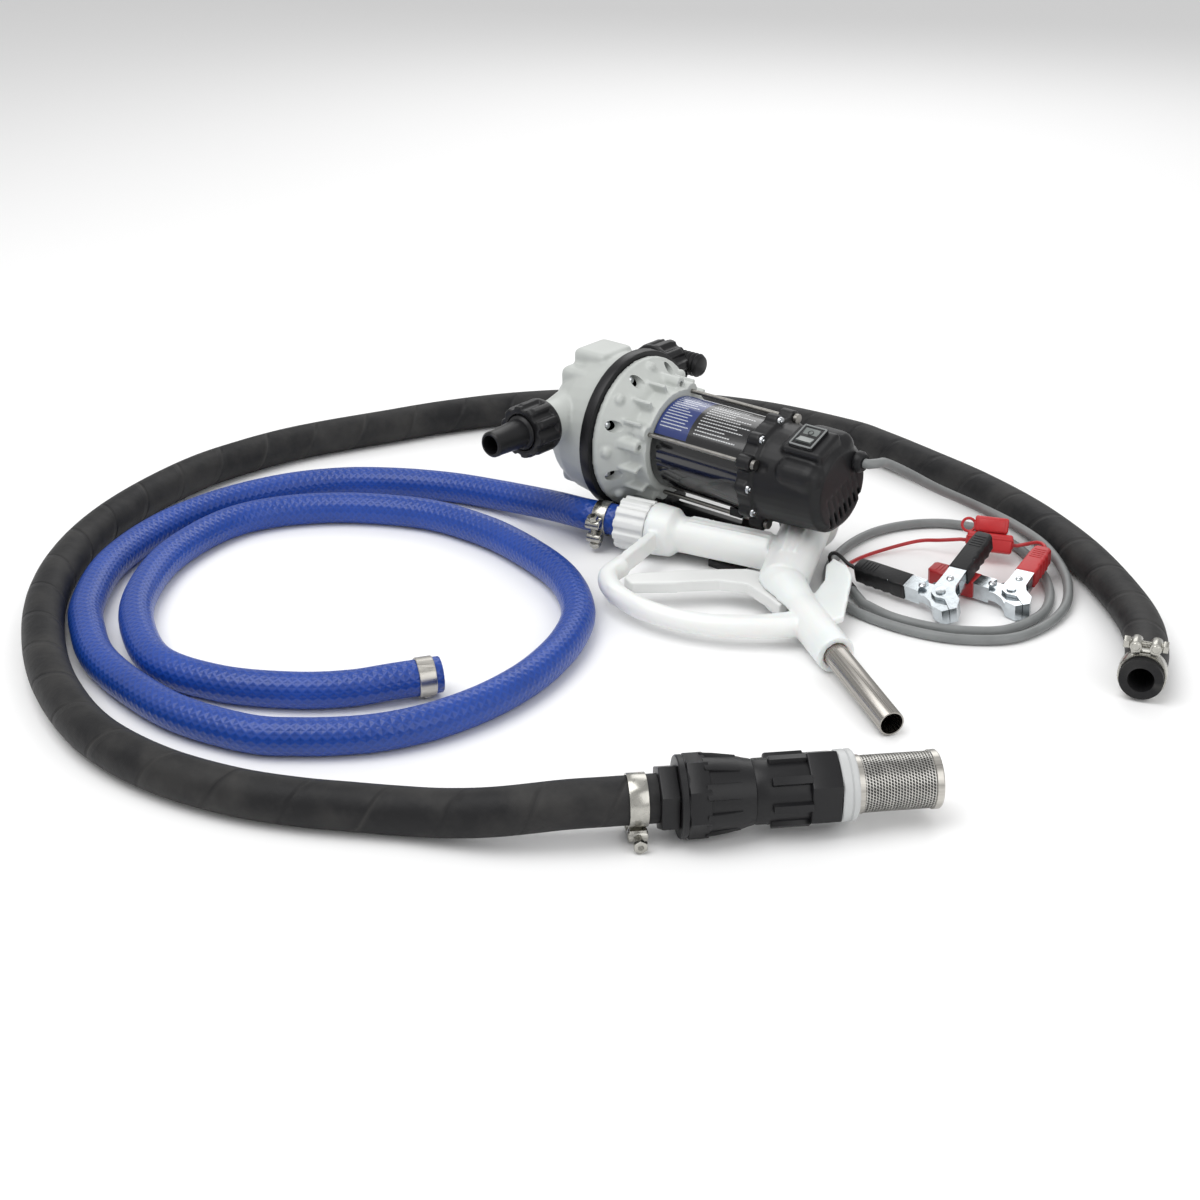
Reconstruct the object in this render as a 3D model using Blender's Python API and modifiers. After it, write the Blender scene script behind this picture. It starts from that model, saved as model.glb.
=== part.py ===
"""Fluid transfer pump kit: a 12 V diaphragm pump, its two hoses, a dispensing nozzle,
a foot valve with strainer, and a fused lead with two battery clips, laid out on a floor.

Sizes are millimetres in this script and become metres in every mesh.
Frame: the origin is on the floor under the motor axis, +X runs from the pump head to the
end cap, +Z is up, and the near port of the head points along -Y.
"""

import math

import bmesh
import bpy
from mathutils import Matrix, Vector

MM = 0.001
GAP = 0.3  # between neighbours that touch
RUN = 0.3  # radial clearance of a turning or sliding piece
ROUND = 32  # sides of a turned piece
FINE = 40  # sides of a large turned piece

# Pump, driving sizes
AXIS_H = 86.0
RING_R = 70.0
RING_T = 10.0
RING_X = -100.0  # head face of the diaphragm ring
HEAD_DEPTH = 56.0
HEAD_R = 66.0
HOUSING_R = 66.0
HOUSING_DEPTH = 42.0
HUB_R = 46.0
MOTOR_R = 40.0
MOTOR_WALL = 2.0
BRUSH_PLATE_R = MOTOR_R - 2 * MOTOR_WALL
MOTOR_LEN = 92.0
FLANGE_R = 48.0
FLANGE_T = 14.0
CAP_LEN = 60.0
CAP_R = 41.5
CAP_END_R = 38.0
SHAFT_R = 4.0
ROD_R = 1.8
ROD_CIRCLE = 44.5
ROD_HEAD_R = 4.5
CLOCK = math.radians(21.0)  # how far motor and end cap are turned about the axis
WOBBLE = math.radians(4.0)
NEAR_PORT = (-134.0, 104.0)  # x and z of the near port's axis
FAR_PORT = (-130.0, 115.0)
PORT_R = 15.5
NUT_R = 22.5
NUT_LEN = 28.0
NUT_GRIP = 12.0  # how far a nut reaches back over its boss
NEAR_BOSS = 60.0
FAR_BOSS = 57.5
SPIGOT_LEN = 53.0
ELBOW_R = 9.2

# Base
FOOT_X = (-100.0, 42.0)
FOOT_W = 28.0
FOOT_Y = 38.0
FOOT_T = 7.0
SPINE_Y = 15.0
SPINE_TOP = 30.0
SPINE_WEB = 4.5

# Hoses and cable
SUCTION_R = 16.0
DELIVERY_R = 13.5
CABLE_R = 4.0
GLAND_OUT = 7.0
CORE_R = 1.6
CORE_STEP = 5.0
SUCTION_STEP = 44.0
DELIVERY_STEP = 38.0
CABLE_STEP = 22.0
BAND_T = 1.0
BAND_FIT = 0.8
BAND_W = 13.0

# Foot valve and strainer, along their own axis
STRAINER_AT = (217.0, -403.0, 27.5)
STRAINER_YAW = math.radians(47.1)
COUPLING_R = 27.0
COUPLING_LEN = 48.0
STRAINER_BORE = 18.3
VALVE_R = 24.0
BASKET_R = 19.0
BASKET_LEN = 56.0

# Nozzle, in its own plane: u along the grip, v towards the cap, w out of the plane
MOTOR_END = RING_X + RING_T + HOUSING_DEPTH + MOTOR_LEN
NOZZLE_AT = (MOTOR_END + 16.5, -26.5, 23.9)  # tucked under the end cap
NOZZLE_YAW = math.radians(13.5)
NOZZLE_UP = (0.0268, -0.0465, 1.0)
GRIP_R = 15.5
TAIL_U = -127.3
CHAMBER_R = 20.5
CAP_NUT_R = 25.5
HOLDER_R = 15.0
SPOUT_R = 9.5
SPOUT_LEN = 118.0
GUARD_HALF = 8.0
LEVER_HALF = 5.0
LEVER_PIVOT = (24.0, -52.0)

# Leads
FUSE_AT = (190.0, 124.0, 16.5)
SPLIT_R = 4.1
SPLIT_LEN = 16.0
CORE_APART = 1.9
RED_CORE_ROUTE = ((116, 7, 2.6), (109.5, 20, 2.0), (105, 45, 1.8), (112, 74, 3.0), (132, 104, 8.0),
                  (152, 109, 13.0))
FUSED_LEAD_ROUTE = ((217, 136, 18.5), (228, 137, 23.0), (237, 131, 23.5))
BLACK_CORE_ROUTE = ((118.5, 10.2, 5.8), (112, 13.3, 6.6), (106, 14.9, 8.2), (102.2, 14.9, 11.7),
                    (101.2, 14.3, 16), (103.4, 13.3, 20), (108.4, 12.3, 22.2), (114.4, 11.2, 20.8),
                    (121, 10.7, 17.2))

# Battery clips
CLIP_HALF_ANGLE = math.radians(42.0)
CLIP_JAW = 24.0
BLACK_HANDLE = 76.0
RED_HANDLE = 68.0
CLIP_HALF = 7.0
CLIP_EAR = 18.0

# Routes, chosen by hand along the middle of each hose, cable and lead
SUCTION_ROUTE = (
    (104, -489, 16.2), (76, -506, 16.2), (45, -524, 16.2), (4, -542, 16.2), (-50, -555, 16.2),
    (-107, -557, 16.2), (-160, -547, 16.2), (-224, -522, 16.2), (-286, -485, 16.2),
    (-337, -444, 16.2), (-380, -395, 16.2), (-414, -338, 16.2), (-437, -274, 16.2),
    (-450, -205, 16.2), (-448, -150, 16.2), (-440, -103, 16.2), (-426, -61, 16.2),
    (-405, -12, 16.2), (-378, 50, 16.2), (-339, 115, 16.2), (-285, 173, 16.2),
    (-215, 220, 16.2), (-130, 252, 16.2), (-40, 262, 16.2), (0, 257, 16.2), (64, 241, 16.2),
    (126, 223, 16.2), (194, 194, 16.2), (258, 154, 16.2), (312, 108, 16.2), (354, 62, 17.0),
    (380, 17, 18.4), (395, -26, 18.4),
)
DELIVERY_ROUTE = (
    (-141, -59, 20.5), (-203, -63, 15.5), (-251, -74, 13.7), (-297, -98, 13.7),
    (-337, -131, 13.7), (-366, -177, 13.7), (-381, -238, 13.7), (-377, -305, 13.7),
    (-350, -375, 13.7), (-303, -432, 13.7), (-266, -459, 13.7), (-221, -482, 13.7),
    (-166, -494, 13.7), (-107, -497, 13.7), (-50, -484, 13.7), (-20, -465, 13.7),
    (8, -439, 13.7), (27, -412, 13.7), (40, -379, 13.7), (47, -336, 13.7), (44, -287, 13.7),
    (28, -234, 13.7), (0, -190, 13.7), (-52, -152, 13.7), (-125, -130, 13.7),
    (-180, -126, 13.7), (-229, -134, 13.7), (-287, -166, 13.7), (-328, -212, 13.7),
    (-342, -263, 13.7), (-325, -334, 13.7), (-284, -395, 13.7), (-238, -433, 13.7),
    (-179, -458, 13.7), (-120, -449, 13.7), (-72, -422, 13.7), (-42, -395, 14.4),
    (-23, -369, 15.8), (-5, -340, 15.8),
)
CABLE_ROUTE = (
    (133, 40, 100), (138, 66, 85), (147, 102, 62), (157, 138, 41), (173, 155, 29),
    (198, 156, 23), (229, 146, 18), (258, 123, 13), (276, 99, 9), (287, 71, 5.5),
    (289, 35, 4.2), (279, -1, 4.2), (253, -25, 4.2), (224, -37, 4.2), (187, -41, 4.2),
    (148, -34, 4.2), (119, -12, 4.2), (97, 23, 4.2), (87, 68, 4.2), (90, 108, 4.2),
    (106, 141, 4.2), (131, 163, 4.2), (164, 169, 4.2), (205, 153, 4.2), (240, 123, 4.2),
    (260, 98, 4.2), (273, 71, 4.2), (277, 45, 4.2), (269, 10, 4.2), (247, -11, 4.2),
    (219, -24, 4.2), (187, -28, 4.2), (158, -22, 4.2), (138, -7, 4.2),
)

PARTS = bpy.data.collections.new("Fluid_transfer_pump")
CUTTERS = bpy.data.collections.new("Cutters")


# ---------------------------------------------------------------- helpers
def clear_scene():
    for obj in list(bpy.data.objects):
        bpy.data.objects.remove(obj, do_unlink=True)
    for group in (PARTS, CUTTERS):
        bpy.context.scene.collection.children.link(group)


def material(name, colour, roughness, metallic=0.0):
    mat = bpy.data.materials.new(name)
    mat.use_nodes = True
    shader = mat.node_tree.nodes["Principled BSDF"]
    shader.inputs["Base Color"].default_value = (*colour, 1.0)
    shader.inputs["Roughness"].default_value = roughness
    shader.inputs["Metallic"].default_value = metallic
    return mat


def axes(origin, z_axis, x_hint=(0, 0, 1)):
    """A frame at origin in mm whose local Z runs along z_axis and whose X leans to x_hint."""
    z = Vector(z_axis).normalized()
    hint = Vector(x_hint)
    x = (hint - z * hint.dot(z)).normalized()
    y = z.cross(x)
    turn = Matrix((x, y, z)).transposed().to_4x4()
    return Matrix.Translation(Vector(origin) * MM) @ turn


def shifted(frame, x=0.0, y=0.0, z=0.0):
    return frame @ Matrix.Translation(Vector((x, y, z)) * MM)


def link(obj, name, mat, frame, cutter=False):
    obj.name = name
    obj.data.name = name
    obj.matrix_world = frame
    if mat:
        obj.data.materials.append(mat)
    if cutter:
        CUTTERS.objects.link(obj)
        obj.hide_render = True
        obj.display_type = "WIRE"
    else:
        PARTS.objects.link(obj)
    return obj


def mesh_object(name, bm, mat, frame, cutter=False):
    mesh = bpy.data.meshes.new(name)
    bm.to_mesh(mesh)
    bm.free()
    return link(bpy.data.objects.new(name, mesh), name, mat, frame, cutter)


def turned(name, profile, mat, frame, sides=ROUND, cutter=False):
    """A turned piece about local Z: (radius, z) points down the outer side, from the top.
    A profile that starts off the axis is a ring, whose points then run up its bore."""
    bm = bmesh.new()
    verts = [bm.verts.new((r * MM, 0.0, z * MM)) for r, z in profile]
    for first, second in zip(verts, verts[1:]):
        bm.edges.new((first, second))
    if profile[0][0] > 0:
        bm.edges.new((verts[-1], verts[0]))
    obj = mesh_object(name, bm, mat, frame, cutter)
    screw = obj.modifiers.new("Turn", "SCREW")
    screw.axis = "Z"
    screw.angle = math.tau
    screw.steps = sides
    screw.render_steps = sides
    screw.use_merge_vertices = True
    screw.merge_threshold = 0.00001
    screw.use_smooth_shade = True
    return obj


def rod(name, radius, z_low, z_high, mat, frame, sides=ROUND, cutter=False):
    profile = ((0, z_high), (radius, z_high), (radius, z_low), (0, z_low))
    return turned(name, profile, mat, frame, sides, cutter)


def sleeve(name, outer, inner, z_low, z_high, mat, frame, sides=ROUND, cutter=False):
    profile = ((outer, z_high), (outer, z_low), (inner, z_low), (inner, z_high))
    return turned(name, profile, mat, frame, sides, cutter)


def box(name, low, high, mat, frame, bevel=0.0, cutter=False):
    bm = bmesh.new()
    bmesh.ops.create_cube(bm, size=1.0)
    size = (Vector(high) - Vector(low)) * MM
    bmesh.ops.scale(bm, vec=size, verts=bm.verts)
    bmesh.ops.translate(bm, vec=(Vector(high) + Vector(low)) * MM / 2, verts=bm.verts)
    obj = mesh_object(name, bm, mat, frame, cutter)
    if bevel:
        rounded = obj.modifiers.new("Round", "BEVEL")
        rounded.width = bevel * MM
        rounded.segments = 2
    return obj


def curve_object(name, mat, frame, cutter, points_lists, dimensions, cyclic):
    curve = bpy.data.curves.new(name, "CURVE")
    curve.dimensions = dimensions
    for points in points_lists:
        spline = curve.splines.new("POLY")
        spline.points.add(len(points) - 1)
        for knot, point in zip(spline.points, points):
            place = (*point, 0.0)[:3]
            knot.co = (*(c * MM for c in place), 1.0)
        spline.use_cyclic_u = cyclic
    return link(bpy.data.objects.new(name, curve), name, mat, frame, cutter)


def as_mesh(obj, cutter=False):
    """The curve's evaluated mesh as a closed mesh object in its place."""
    bpy.context.view_layer.update()
    evaluated = obj.evaluated_get(bpy.context.evaluated_depsgraph_get())
    mesh = bpy.data.meshes.new_from_object(evaluated)
    frame = obj.matrix_world.copy()
    name = obj.name
    curve = obj.data
    bpy.data.objects.remove(obj)
    bpy.data.curves.remove(curve)
    bm = bmesh.new()
    bm.from_mesh(mesh)
    bmesh.ops.remove_doubles(bm, verts=bm.verts, dist=0.00001)
    bm.to_mesh(mesh)
    bm.free()
    return link(bpy.data.objects.new(name, mesh), name, None, frame, cutter)


def plate(name, outlines, z_low, z_high, mat, frame, cutter=False):
    """A flat outline, with any holes as further outlines, from z_low to z_high."""
    middle = shifted(frame, z=(z_low + z_high) / 2)
    obj = curve_object(name, mat, middle, cutter, outlines, "2D", True)
    obj.data.fill_mode = "BOTH"
    obj.data.extrude = (z_high - z_low) / 2 * MM
    return as_mesh(obj, cutter)


def tube(name, points, radius, mat, frame=Matrix(), resolution=2, cutter=False, solid=False):
    obj = curve_object(name, mat, frame, cutter, (points,), "3D", False)
    obj.data.bevel_depth = radius * MM
    obj.data.bevel_resolution = resolution
    obj.data.use_fill_caps = True
    obj.data.resolution_u = 1
    return as_mesh(obj, cutter) if solid else obj


def boolean(obj, other, operation="DIFFERENCE"):
    cut = obj.modifiers.new(other.name, "BOOLEAN")
    cut.object = other
    cut.operation = operation
    cut.solver = "EXACT"


def cut(obj, *others):
    for other in others:
        boolean(obj, other)


def join(obj, *others):
    for other in others:
        boolean(obj, other, "UNION")


def smooth_route(points, spacing):
    """Points about spacing apart on a smooth curve through the route's own points."""
    knots = [Vector(p) for p in points]
    knots = [knots[0] * 2 - knots[1], *knots, knots[-1] * 2 - knots[-2]]
    dense = []
    for a, b, c, d in zip(knots, knots[1:], knots[2:], knots[3:]):
        for step in range(16):
            t = step / 16
            dense.append(
                0.5 * (2 * b + (c - a) * t + (2 * a - 5 * b + 4 * c - d) * t * t
                       + (3 * b - a - 3 * c + d) * t ** 3)
            )
    dense.append(knots[-2])
    lengths = [0.0]
    for first, second in zip(dense, dense[1:]):
        lengths.append(lengths[-1] + (second - first).length)
    count = max(2, round(lengths[-1] / spacing))
    out = []
    index = 0
    for k in range(count + 1):
        wanted = lengths[-1] * k / count
        while index < len(lengths) - 2 and lengths[index + 1] < wanted:
            index += 1
        share = (wanted - lengths[index]) / (lengths[index + 1] - lengths[index])
        out.append(tuple(dense[index].lerp(dense[index + 1], min(share, 1.0))))
    return out


def cord_route(points, spacing):
    """A smooth route whose first and last stretches stay straight, so its ends meet squarely."""
    return [tuple(points[0]), *smooth_route(points[1:-1], spacing), tuple(points[-1])]


def arc(radius, start, end, steps, centre=(0.0, 0.0)):
    angles = [start + (end - start) * k / steps for k in range(steps + 1)]
    return [(centre[0] + radius * math.cos(a), centre[1] + radius * math.sin(a)) for a in angles]


def castellated(ribs, outer, inner):
    """A round outline with evenly spaced grip ribs."""
    points = []
    for rib in range(ribs):
        start = math.tau * rib / ribs
        width = math.tau / ribs
        points += arc(outer, start, start + width * 0.5, 2)
        points += arc(inner, start + width * 0.6, start + width * 0.9, 1)
    return points


def hexagon(radius):
    return arc(radius, 0.0, math.tau * 5 / 6, 5)


def circle(radius, sides=24, centre=(0.0, 0.0)):
    return arc(radius, 0.0, math.tau * (sides - 1) / sides, sides - 1, centre)


def band(name, hose_r, frame, steel, bolt_out):
    """A hose clamp: a flat band round the hose, its two lugs and the bolt through them."""
    bore = hose_r + BAND_FIT
    obj = sleeve(name, bore + BAND_T, bore, 0, BAND_W, steel, frame, ROUND)
    lug_low = bore + BAND_T * 0.4
    lug_high = lug_low + bolt_out
    block = box(name + "_lugs", (lug_low, -6, 1.5), (lug_high, 6, BAND_W - 1.5), None, frame,
                cutter=True)
    middle = shifted(frame, lug_low + bolt_out * 0.6, 0, BAND_W / 2)
    across = middle @ Matrix.Rotation(math.radians(-90), 4, "X")
    bolt = rod(name + "_bolt", 2.6, -14, 14, None, across, 12, cutter=True)
    join(obj, block, bolt)


# ---------------------------------------------------------------- materials
def make_materials():
    return {
        "grey": material("Head_grey", (0.62, 0.62, 0.60), 0.45),
        "black": material("Black_plastic", (0.02, 0.02, 0.022), 0.4),
        "gloss": material("Motor_gloss_black", (0.01, 0.01, 0.012), 0.12),
        "rubber": material("Black_rubber", (0.03, 0.03, 0.03), 0.75),
        "blue": material("Hose_blue", (0.03, 0.09, 0.30), 0.6),
        "white": material("Nozzle_white", (0.78, 0.78, 0.76), 0.4),
        "cable": material("Cable_grey", (0.30, 0.31, 0.32), 0.5),
        "red": material("Red_plastic", (0.60, 0.03, 0.03), 0.45),
        "steel": material("Plated_steel", (0.70, 0.70, 0.70), 0.25, 1.0),
        "dark_steel": material("Laminated_steel", (0.25, 0.25, 0.26), 0.4, 1.0),
        "copper": material("Commutator_copper", (0.72, 0.36, 0.18), 0.3, 1.0),
        "carbon": material("Brush_carbon", (0.05, 0.05, 0.05), 0.7),
        "magnet": material("Ferrite_magnet", (0.07, 0.07, 0.08), 0.6),
        "switch": material("Rocker_grey", (0.22, 0.24, 0.24), 0.3),
        "seal": material("Seal_grey", (0.55, 0.56, 0.56), 0.6),
    }


PUMP = axes((0, 0, AXIS_H), (1, 0, 0), (0, 1, 0))  # local X is +Y, local Y is +Z, local Z is +X


# ---------------------------------------------------------------- pump
def pump_head(mats):
    front = RING_X - HEAD_DEPTH
    wall = 12.0
    back = RING_X - GAP
    profile = (
        (0, front + wall), (HEAD_R - 20, front + wall), (HEAD_R - 15, front + wall + 8),
        (HEAD_R - 15, back - 6), (HEAD_R - 8, back - 6), (HEAD_R - 8, back), (HEAD_R, back),
        (HEAD_R, back - 4), (HEAD_R - 4, back - 30), (HEAD_R - 9, back - 42),
        (HEAD_R - 18, front + 3), (HEAD_R - 24, front), (0, front),
    )
    head = turned("port_head", profile, mats["grey"], PUMP, FINE)
    near = axes((NEAR_PORT[0], -30, NEAR_PORT[1]), (0, -1, 0))
    far = axes((FAR_PORT[0], 20, FAR_PORT[1]), (0, 1, 0))
    near_boss = rod("near_boss", PORT_R, 0, NEAR_BOSS, None, near, cutter=True)
    far_boss = rod("far_boss", PORT_R, 0, FAR_BOSS, None, far, cutter=True)
    chest_at = axes((RING_X - 24, 0, AXIS_H), (0, 0, 1), (1, 0, 0))
    chest = box("valve_chest", (-26, -36, -50), (6, 36, 54), None, chest_at, 6, cutter=True)
    top_boss = box("top_boss", (-24, -20, 30), (10, 20, 67), None, chest_at, 4, cutter=True)
    join(head, near_boss, far_boss, chest, top_boss)
    hollow = turned(
        "head_hollow",
        ((0, back - 3), (HEAD_R - 14, back - 3), (HEAD_R - 14, front + 20),
         (HEAD_R - 22, front + wall), (0, front + wall)), None, PUMP, FINE, cutter=True)
    near_bore = rod("near_bore", 7, -25, NEAR_BOSS + 2, None, near, 16, cutter=True)
    far_bore = rod("far_bore", 7, -25, FAR_BOSS + 2, None, far, 16, cutter=True)
    cut(head, hollow, near_bore, far_bore)
    return near, far


def port_fittings(mats, near, far):
    """Union nuts on both bosses, the near spigot and the far elbow."""
    for side, frame, boss_end in (("near", near, NEAR_BOSS), ("far", far, FAR_BOSS)):
        start = boss_end - NUT_GRIP
        plate(side + "_union_nut", (castellated(10, NUT_R, NUT_R - 2.2), circle(PORT_R + GAP)),
              start, start + NUT_LEN, mats["black"], frame)
    end = NEAR_BOSS + GAP
    turned("near_spigot",
           ((10.5, end + SPIGOT_LEN), (12.0, end + 24), (12.5, end + 18), (15, end + 16), (15, end),
            (8, end), (8, end + SPIGOT_LEN)), mats["black"], near)
    outlet = FAR_BOSS + NUT_LEN - NUT_GRIP + ELBOW_R + GAP
    bend = ((0, 0, FAR_BOSS + GAP), (0, 0, outlet - 11), (0, 3, outlet - 4), (0, 9, outlet),
            (0, 28, outlet))
    tube("far_elbow", smooth_route(bend, 6), ELBOW_R, mats["black"], far, 3, solid=True)


def diaphragm_and_valves(mats):
    low = RING_X
    high = RING_X + RING_T - GAP
    turned("diaphragm_ring",
           ((0, low + 2.4), (56, low + 2.4), (56, high), (RING_R, high), (RING_R, low), (0, low)),
           mats["black"], PUMP, FINE)
    plate_r = HEAD_R - 15
    ports = [circle(5, 12, (28 * math.cos(a), 28 * math.sin(a)))
             for a in (math.tau * k / 5 + 0.3 for k in range(5))]
    plate("valve_plate", (circle(plate_r, 40), *ports), RING_X - 22, RING_X - 16, mats["black"], PUMP)


def housing_outline(start, end, extra=0.0):
    """The drive housing's outer profile, from the motor side down to the ring."""
    return (
        (HUB_R + extra, end), (HUB_R + extra, end - 16), (HUB_R + 5 + extra, end - 20),
        (HOUSING_R - 3 + extra, start + 8 + extra), (HOUSING_R + extra, start + 5 + extra),
        (HOUSING_R + extra, start),
    )


def drive_housing(mats):
    start = RING_X + RING_T
    end = start + HOUSING_DEPTH
    wall = 4.0
    bearing_r = 11.0 + GAP
    outer = housing_outline(start, end)
    inner = (
        (56, start), (56, start + 6), (HUB_R, end - 22), (HUB_R - wall, end - 16), (18, end - 14),
        (18, end - 8), (bearing_r, end - 8), (bearing_r, end),
    )
    housing = turned("drive_housing", (*outer, *inner), mats["grey"], PUMP, FINE)
    for k in range(4):
        angle = CLOCK + math.radians(45 + 90 * k)
        centre = (ROD_CIRCLE * math.cos(angle), ROD_CIRCLE * math.sin(angle))
        at = shifted(PUMP, *centre)
        lug = rod(f"housing_lug_{k}", 7.5, end - 12, end, None, at, 16, cutter=True)
        hole = rod(f"housing_rod_hole_{k}", ROD_R + GAP, end - 9, end + 2, None, at, 12, cutter=True)
        join(housing, lug)
        cut(housing, hole)
    return end


def motor(mats, start):
    end = start + MOTOR_LEN
    sleeve("motor_can", MOTOR_R, MOTOR_R - MOTOR_WALL, start + GAP, end - GAP, mats["gloss"],
           PUMP, FINE)
    for name, middle in (("magnet_upper", CLOCK + math.pi / 2), ("magnet_lower", CLOCK - math.pi / 2)):
        half = math.radians(60)
        outline = (arc(MOTOR_R - MOTOR_WALL - GAP, middle - half, middle + half, 10)
                   + arc(28, middle + half, middle - half, 10))
        plate(name, (outline,), start + 16, end - 22, mats["magnet"], PUMP)
    for k in range(4):
        angle = CLOCK + math.radians(45 + 90 * k)
        at = shifted(PUMP, ROD_CIRCLE * math.cos(angle), ROD_CIRCLE * math.sin(angle))
        head = end + FLANGE_T + GAP
        turned(f"tie_rod_{k + 1}",
               ((0, head + 3.5), (ROD_HEAD_R, head + 3.0), (ROD_HEAD_R, head), (ROD_R, head),
                (ROD_R, start - 8), (0, start - 8)), mats["steel"], at, 12)
    return end


def rotor(mats, start, end):
    """Shaft, wound core and commutator, and the cam that swings the wobble plate."""
    hub_low = start - 32
    rod("armature_shaft", SHAFT_R, hub_low + 4, end + 36, mats["steel"], PUMP, 16)
    core_low = start + 22
    core_high = end - 34
    teeth = 10
    outline = []
    for tooth in range(teeth):
        a = math.tau * tooth / teeth
        w = math.tau / teeth
        outline += arc(26.5, a, a + w * 0.76, 3)
        outline += [(20 * math.cos(a + w * k), 20 * math.sin(a + w * k)) for k in (0.8, 0.96)]
    plate("armature_core", (outline, circle(SHAFT_R + GAP, 16)), core_low, core_high,
          mats["dark_steel"], PUMP)
    sleeve("commutator", 12, SHAFT_R + GAP, end - 8, end + 14, mats["copper"], PUMP, 24)
    sleeve("front_bearing", 11, SHAFT_R + GAP, start - 8 + GAP, start - GAP, mats["steel"], PUMP, 24)
    sleeve("rear_bearing", 11, SHAFT_R + GAP, end + 26, end + 34, mats["steel"], PUMP, 24)
    tilt = shifted(PUMP, z=hub_low) @ Matrix.Rotation(WOBBLE, 4, "Y")
    cam = rod("wobble_hub", 14, hub_low, hub_low + 15, mats["steel"], PUMP, 24)
    pin = rod("wobble_pin", 8, -13, 4, None, tilt, 24, cutter=True)
    join(cam, pin)
    bore = rod("hub_bore", SHAFT_R + GAP, hub_low + 3.7, hub_low + 20, None, PUMP, 16, cutter=True)
    cut(cam, bore)
    sleeve("wobble_bearing", 15, 8 + RUN, -12, -3, mats["steel"], tilt, 24)
    turned("wobble_plate", ((40, -3), (40, -8), (24, -12), (15 + GAP, -12), (15 + GAP, -3)),
           mats["grey"], tilt, 32)


def brush_gear(mats, end):
    plate_z = end + 8
    plate("brush_plate", (circle(BRUSH_PLATE_R, 32), circle(15, 24)), plate_z, plate_z + 2.5,
          mats["carbon"], PUMP)
    for name, side in (("brush_upper", 0.0), ("brush_lower", math.pi)):
        at = PUMP @ Matrix.Rotation(side + CLOCK, 4, "Z")
        box(name, (12 + RUN, -4, end - 2), (22, 4, plate_z - GAP), mats["carbon"], at)


def end_cap(mats, end):
    flange_end = end + FLANGE_T
    cap_end = flange_end + CAP_LEN
    wall = 4.0
    bearing_r = 11 + GAP
    bore = BRUSH_PLATE_R + GAP
    profile = (
        (0, cap_end), (CAP_END_R - 6, cap_end), (CAP_END_R, cap_end - 6),
        (CAP_R, flange_end + 6), (CAP_R, flange_end), (FLANGE_R - 4, flange_end),
        (FLANGE_R - 4, end), (bore, end), (bore, end + 20), (18, end + 24),
        (bearing_r, end + 26 - GAP), (bearing_r, end + 36), (18, end + 38),
        (CAP_END_R - wall, end + 40), (CAP_END_R - wall, cap_end - wall), (0, cap_end - wall),
    )
    cap = turned("end_cap", profile, mats["black"], PUMP, FINE)
    for k in range(4):
        angle = CLOCK + math.radians(45 + 90 * k)
        at = shifted(PUMP, ROD_CIRCLE * math.cos(angle), ROD_CIRCLE * math.sin(angle))
        lobe = rod(f"cap_lobe_{k}", 6.7, end + 0.4, flange_end - 0.4, None, at, 16, cutter=True)
        hole = rod(f"cap_rod_hole_{k}", ROD_R + GAP, end - 2, flange_end + 2, None, at, 12, cutter=True)
        join(cap, lobe)
        room = rod(f"rod_head_room_{k}", ROD_HEAD_R + GAP * 2, flange_end - 0.1, flange_end + 12,
                   None, at, 16, cutter=True)
        cut(cap, hole, room)
    up = (0, -math.sin(CLOCK), math.cos(CLOCK))
    switch_x = flange_end + 36
    switch = axes((switch_x, 0, AXIS_H), up, (1, 0, 0))
    plinth = box("switch_plinth", (-13, -13.5, 30), (13, 13.5, 45), None, switch, 1.5, cutter=True)
    pocket = box("switch_pocket", (-8, -10.3, 34), (8, 10.3, 50), None, switch, cutter=True)
    outlet = axes((cap_end, 20, AXIS_H + 18), (1, 0, 0), (0, 1, 0))
    cable_hole = rod("cable_hole", 6 + GAP, -8, 4, None, outlet, 16, cutter=True)
    join(cap, plinth)
    cut(cap, pocket, cable_hole)
    for k in range(7):
        x = (k - 3) * 7.0
        slot = box(f"vent_{k}", (x - 1.5, -26, cap_end - 9), (x + 1.5, 4, cap_end + 3), None,
                   PUMP @ Matrix.Rotation(CLOCK, 4, "Z"), cutter=True)
        cut(cap, slot)
    return switch, outlet


def switch_parts(mats, switch):
    bezel = box("switch_bezel", (-10.5, -12.5, 45 + GAP), (10.5, 12.5, 47.5), mats["black"], switch)
    body = box("switch_body", (-7.6, -9.9, 37), (7.6, 9.9, 46), None, switch, cutter=True)
    well = box("switch_well", (-6.6, -8.9, 38), (6.6, 8.9, 49), None, switch, cutter=True)
    join(bezel, body)
    cut(bezel, well)
    rocker_frame = shifted(switch, z=44)
    side_on = rocker_frame @ Matrix.Rotation(math.radians(90), 4, "Y") @ Matrix.Rotation(
        math.radians(90), 4, "Z")
    outline = ((-8.2, 5.8), (0.0, 2.9), (8.2, 4.0), (7.4, -2.0), (3.0, -4.6), (-3.0, -4.6), (-7.4, -2.0))
    plate("switch_rocker", (outline[::-1],), -6.2, 6.2, mats["switch"], side_on)


def gland(mats, outlet):
    turned("cable_gland",
           ((7, GLAND_OUT), (9, GLAND_OUT - 3), (9, GAP), (6, GAP), (6, -6), (CABLE_R + RUN, -6),
            (CABLE_R + RUN, GLAND_OUT)), mats["black"], outlet, 20)


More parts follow.
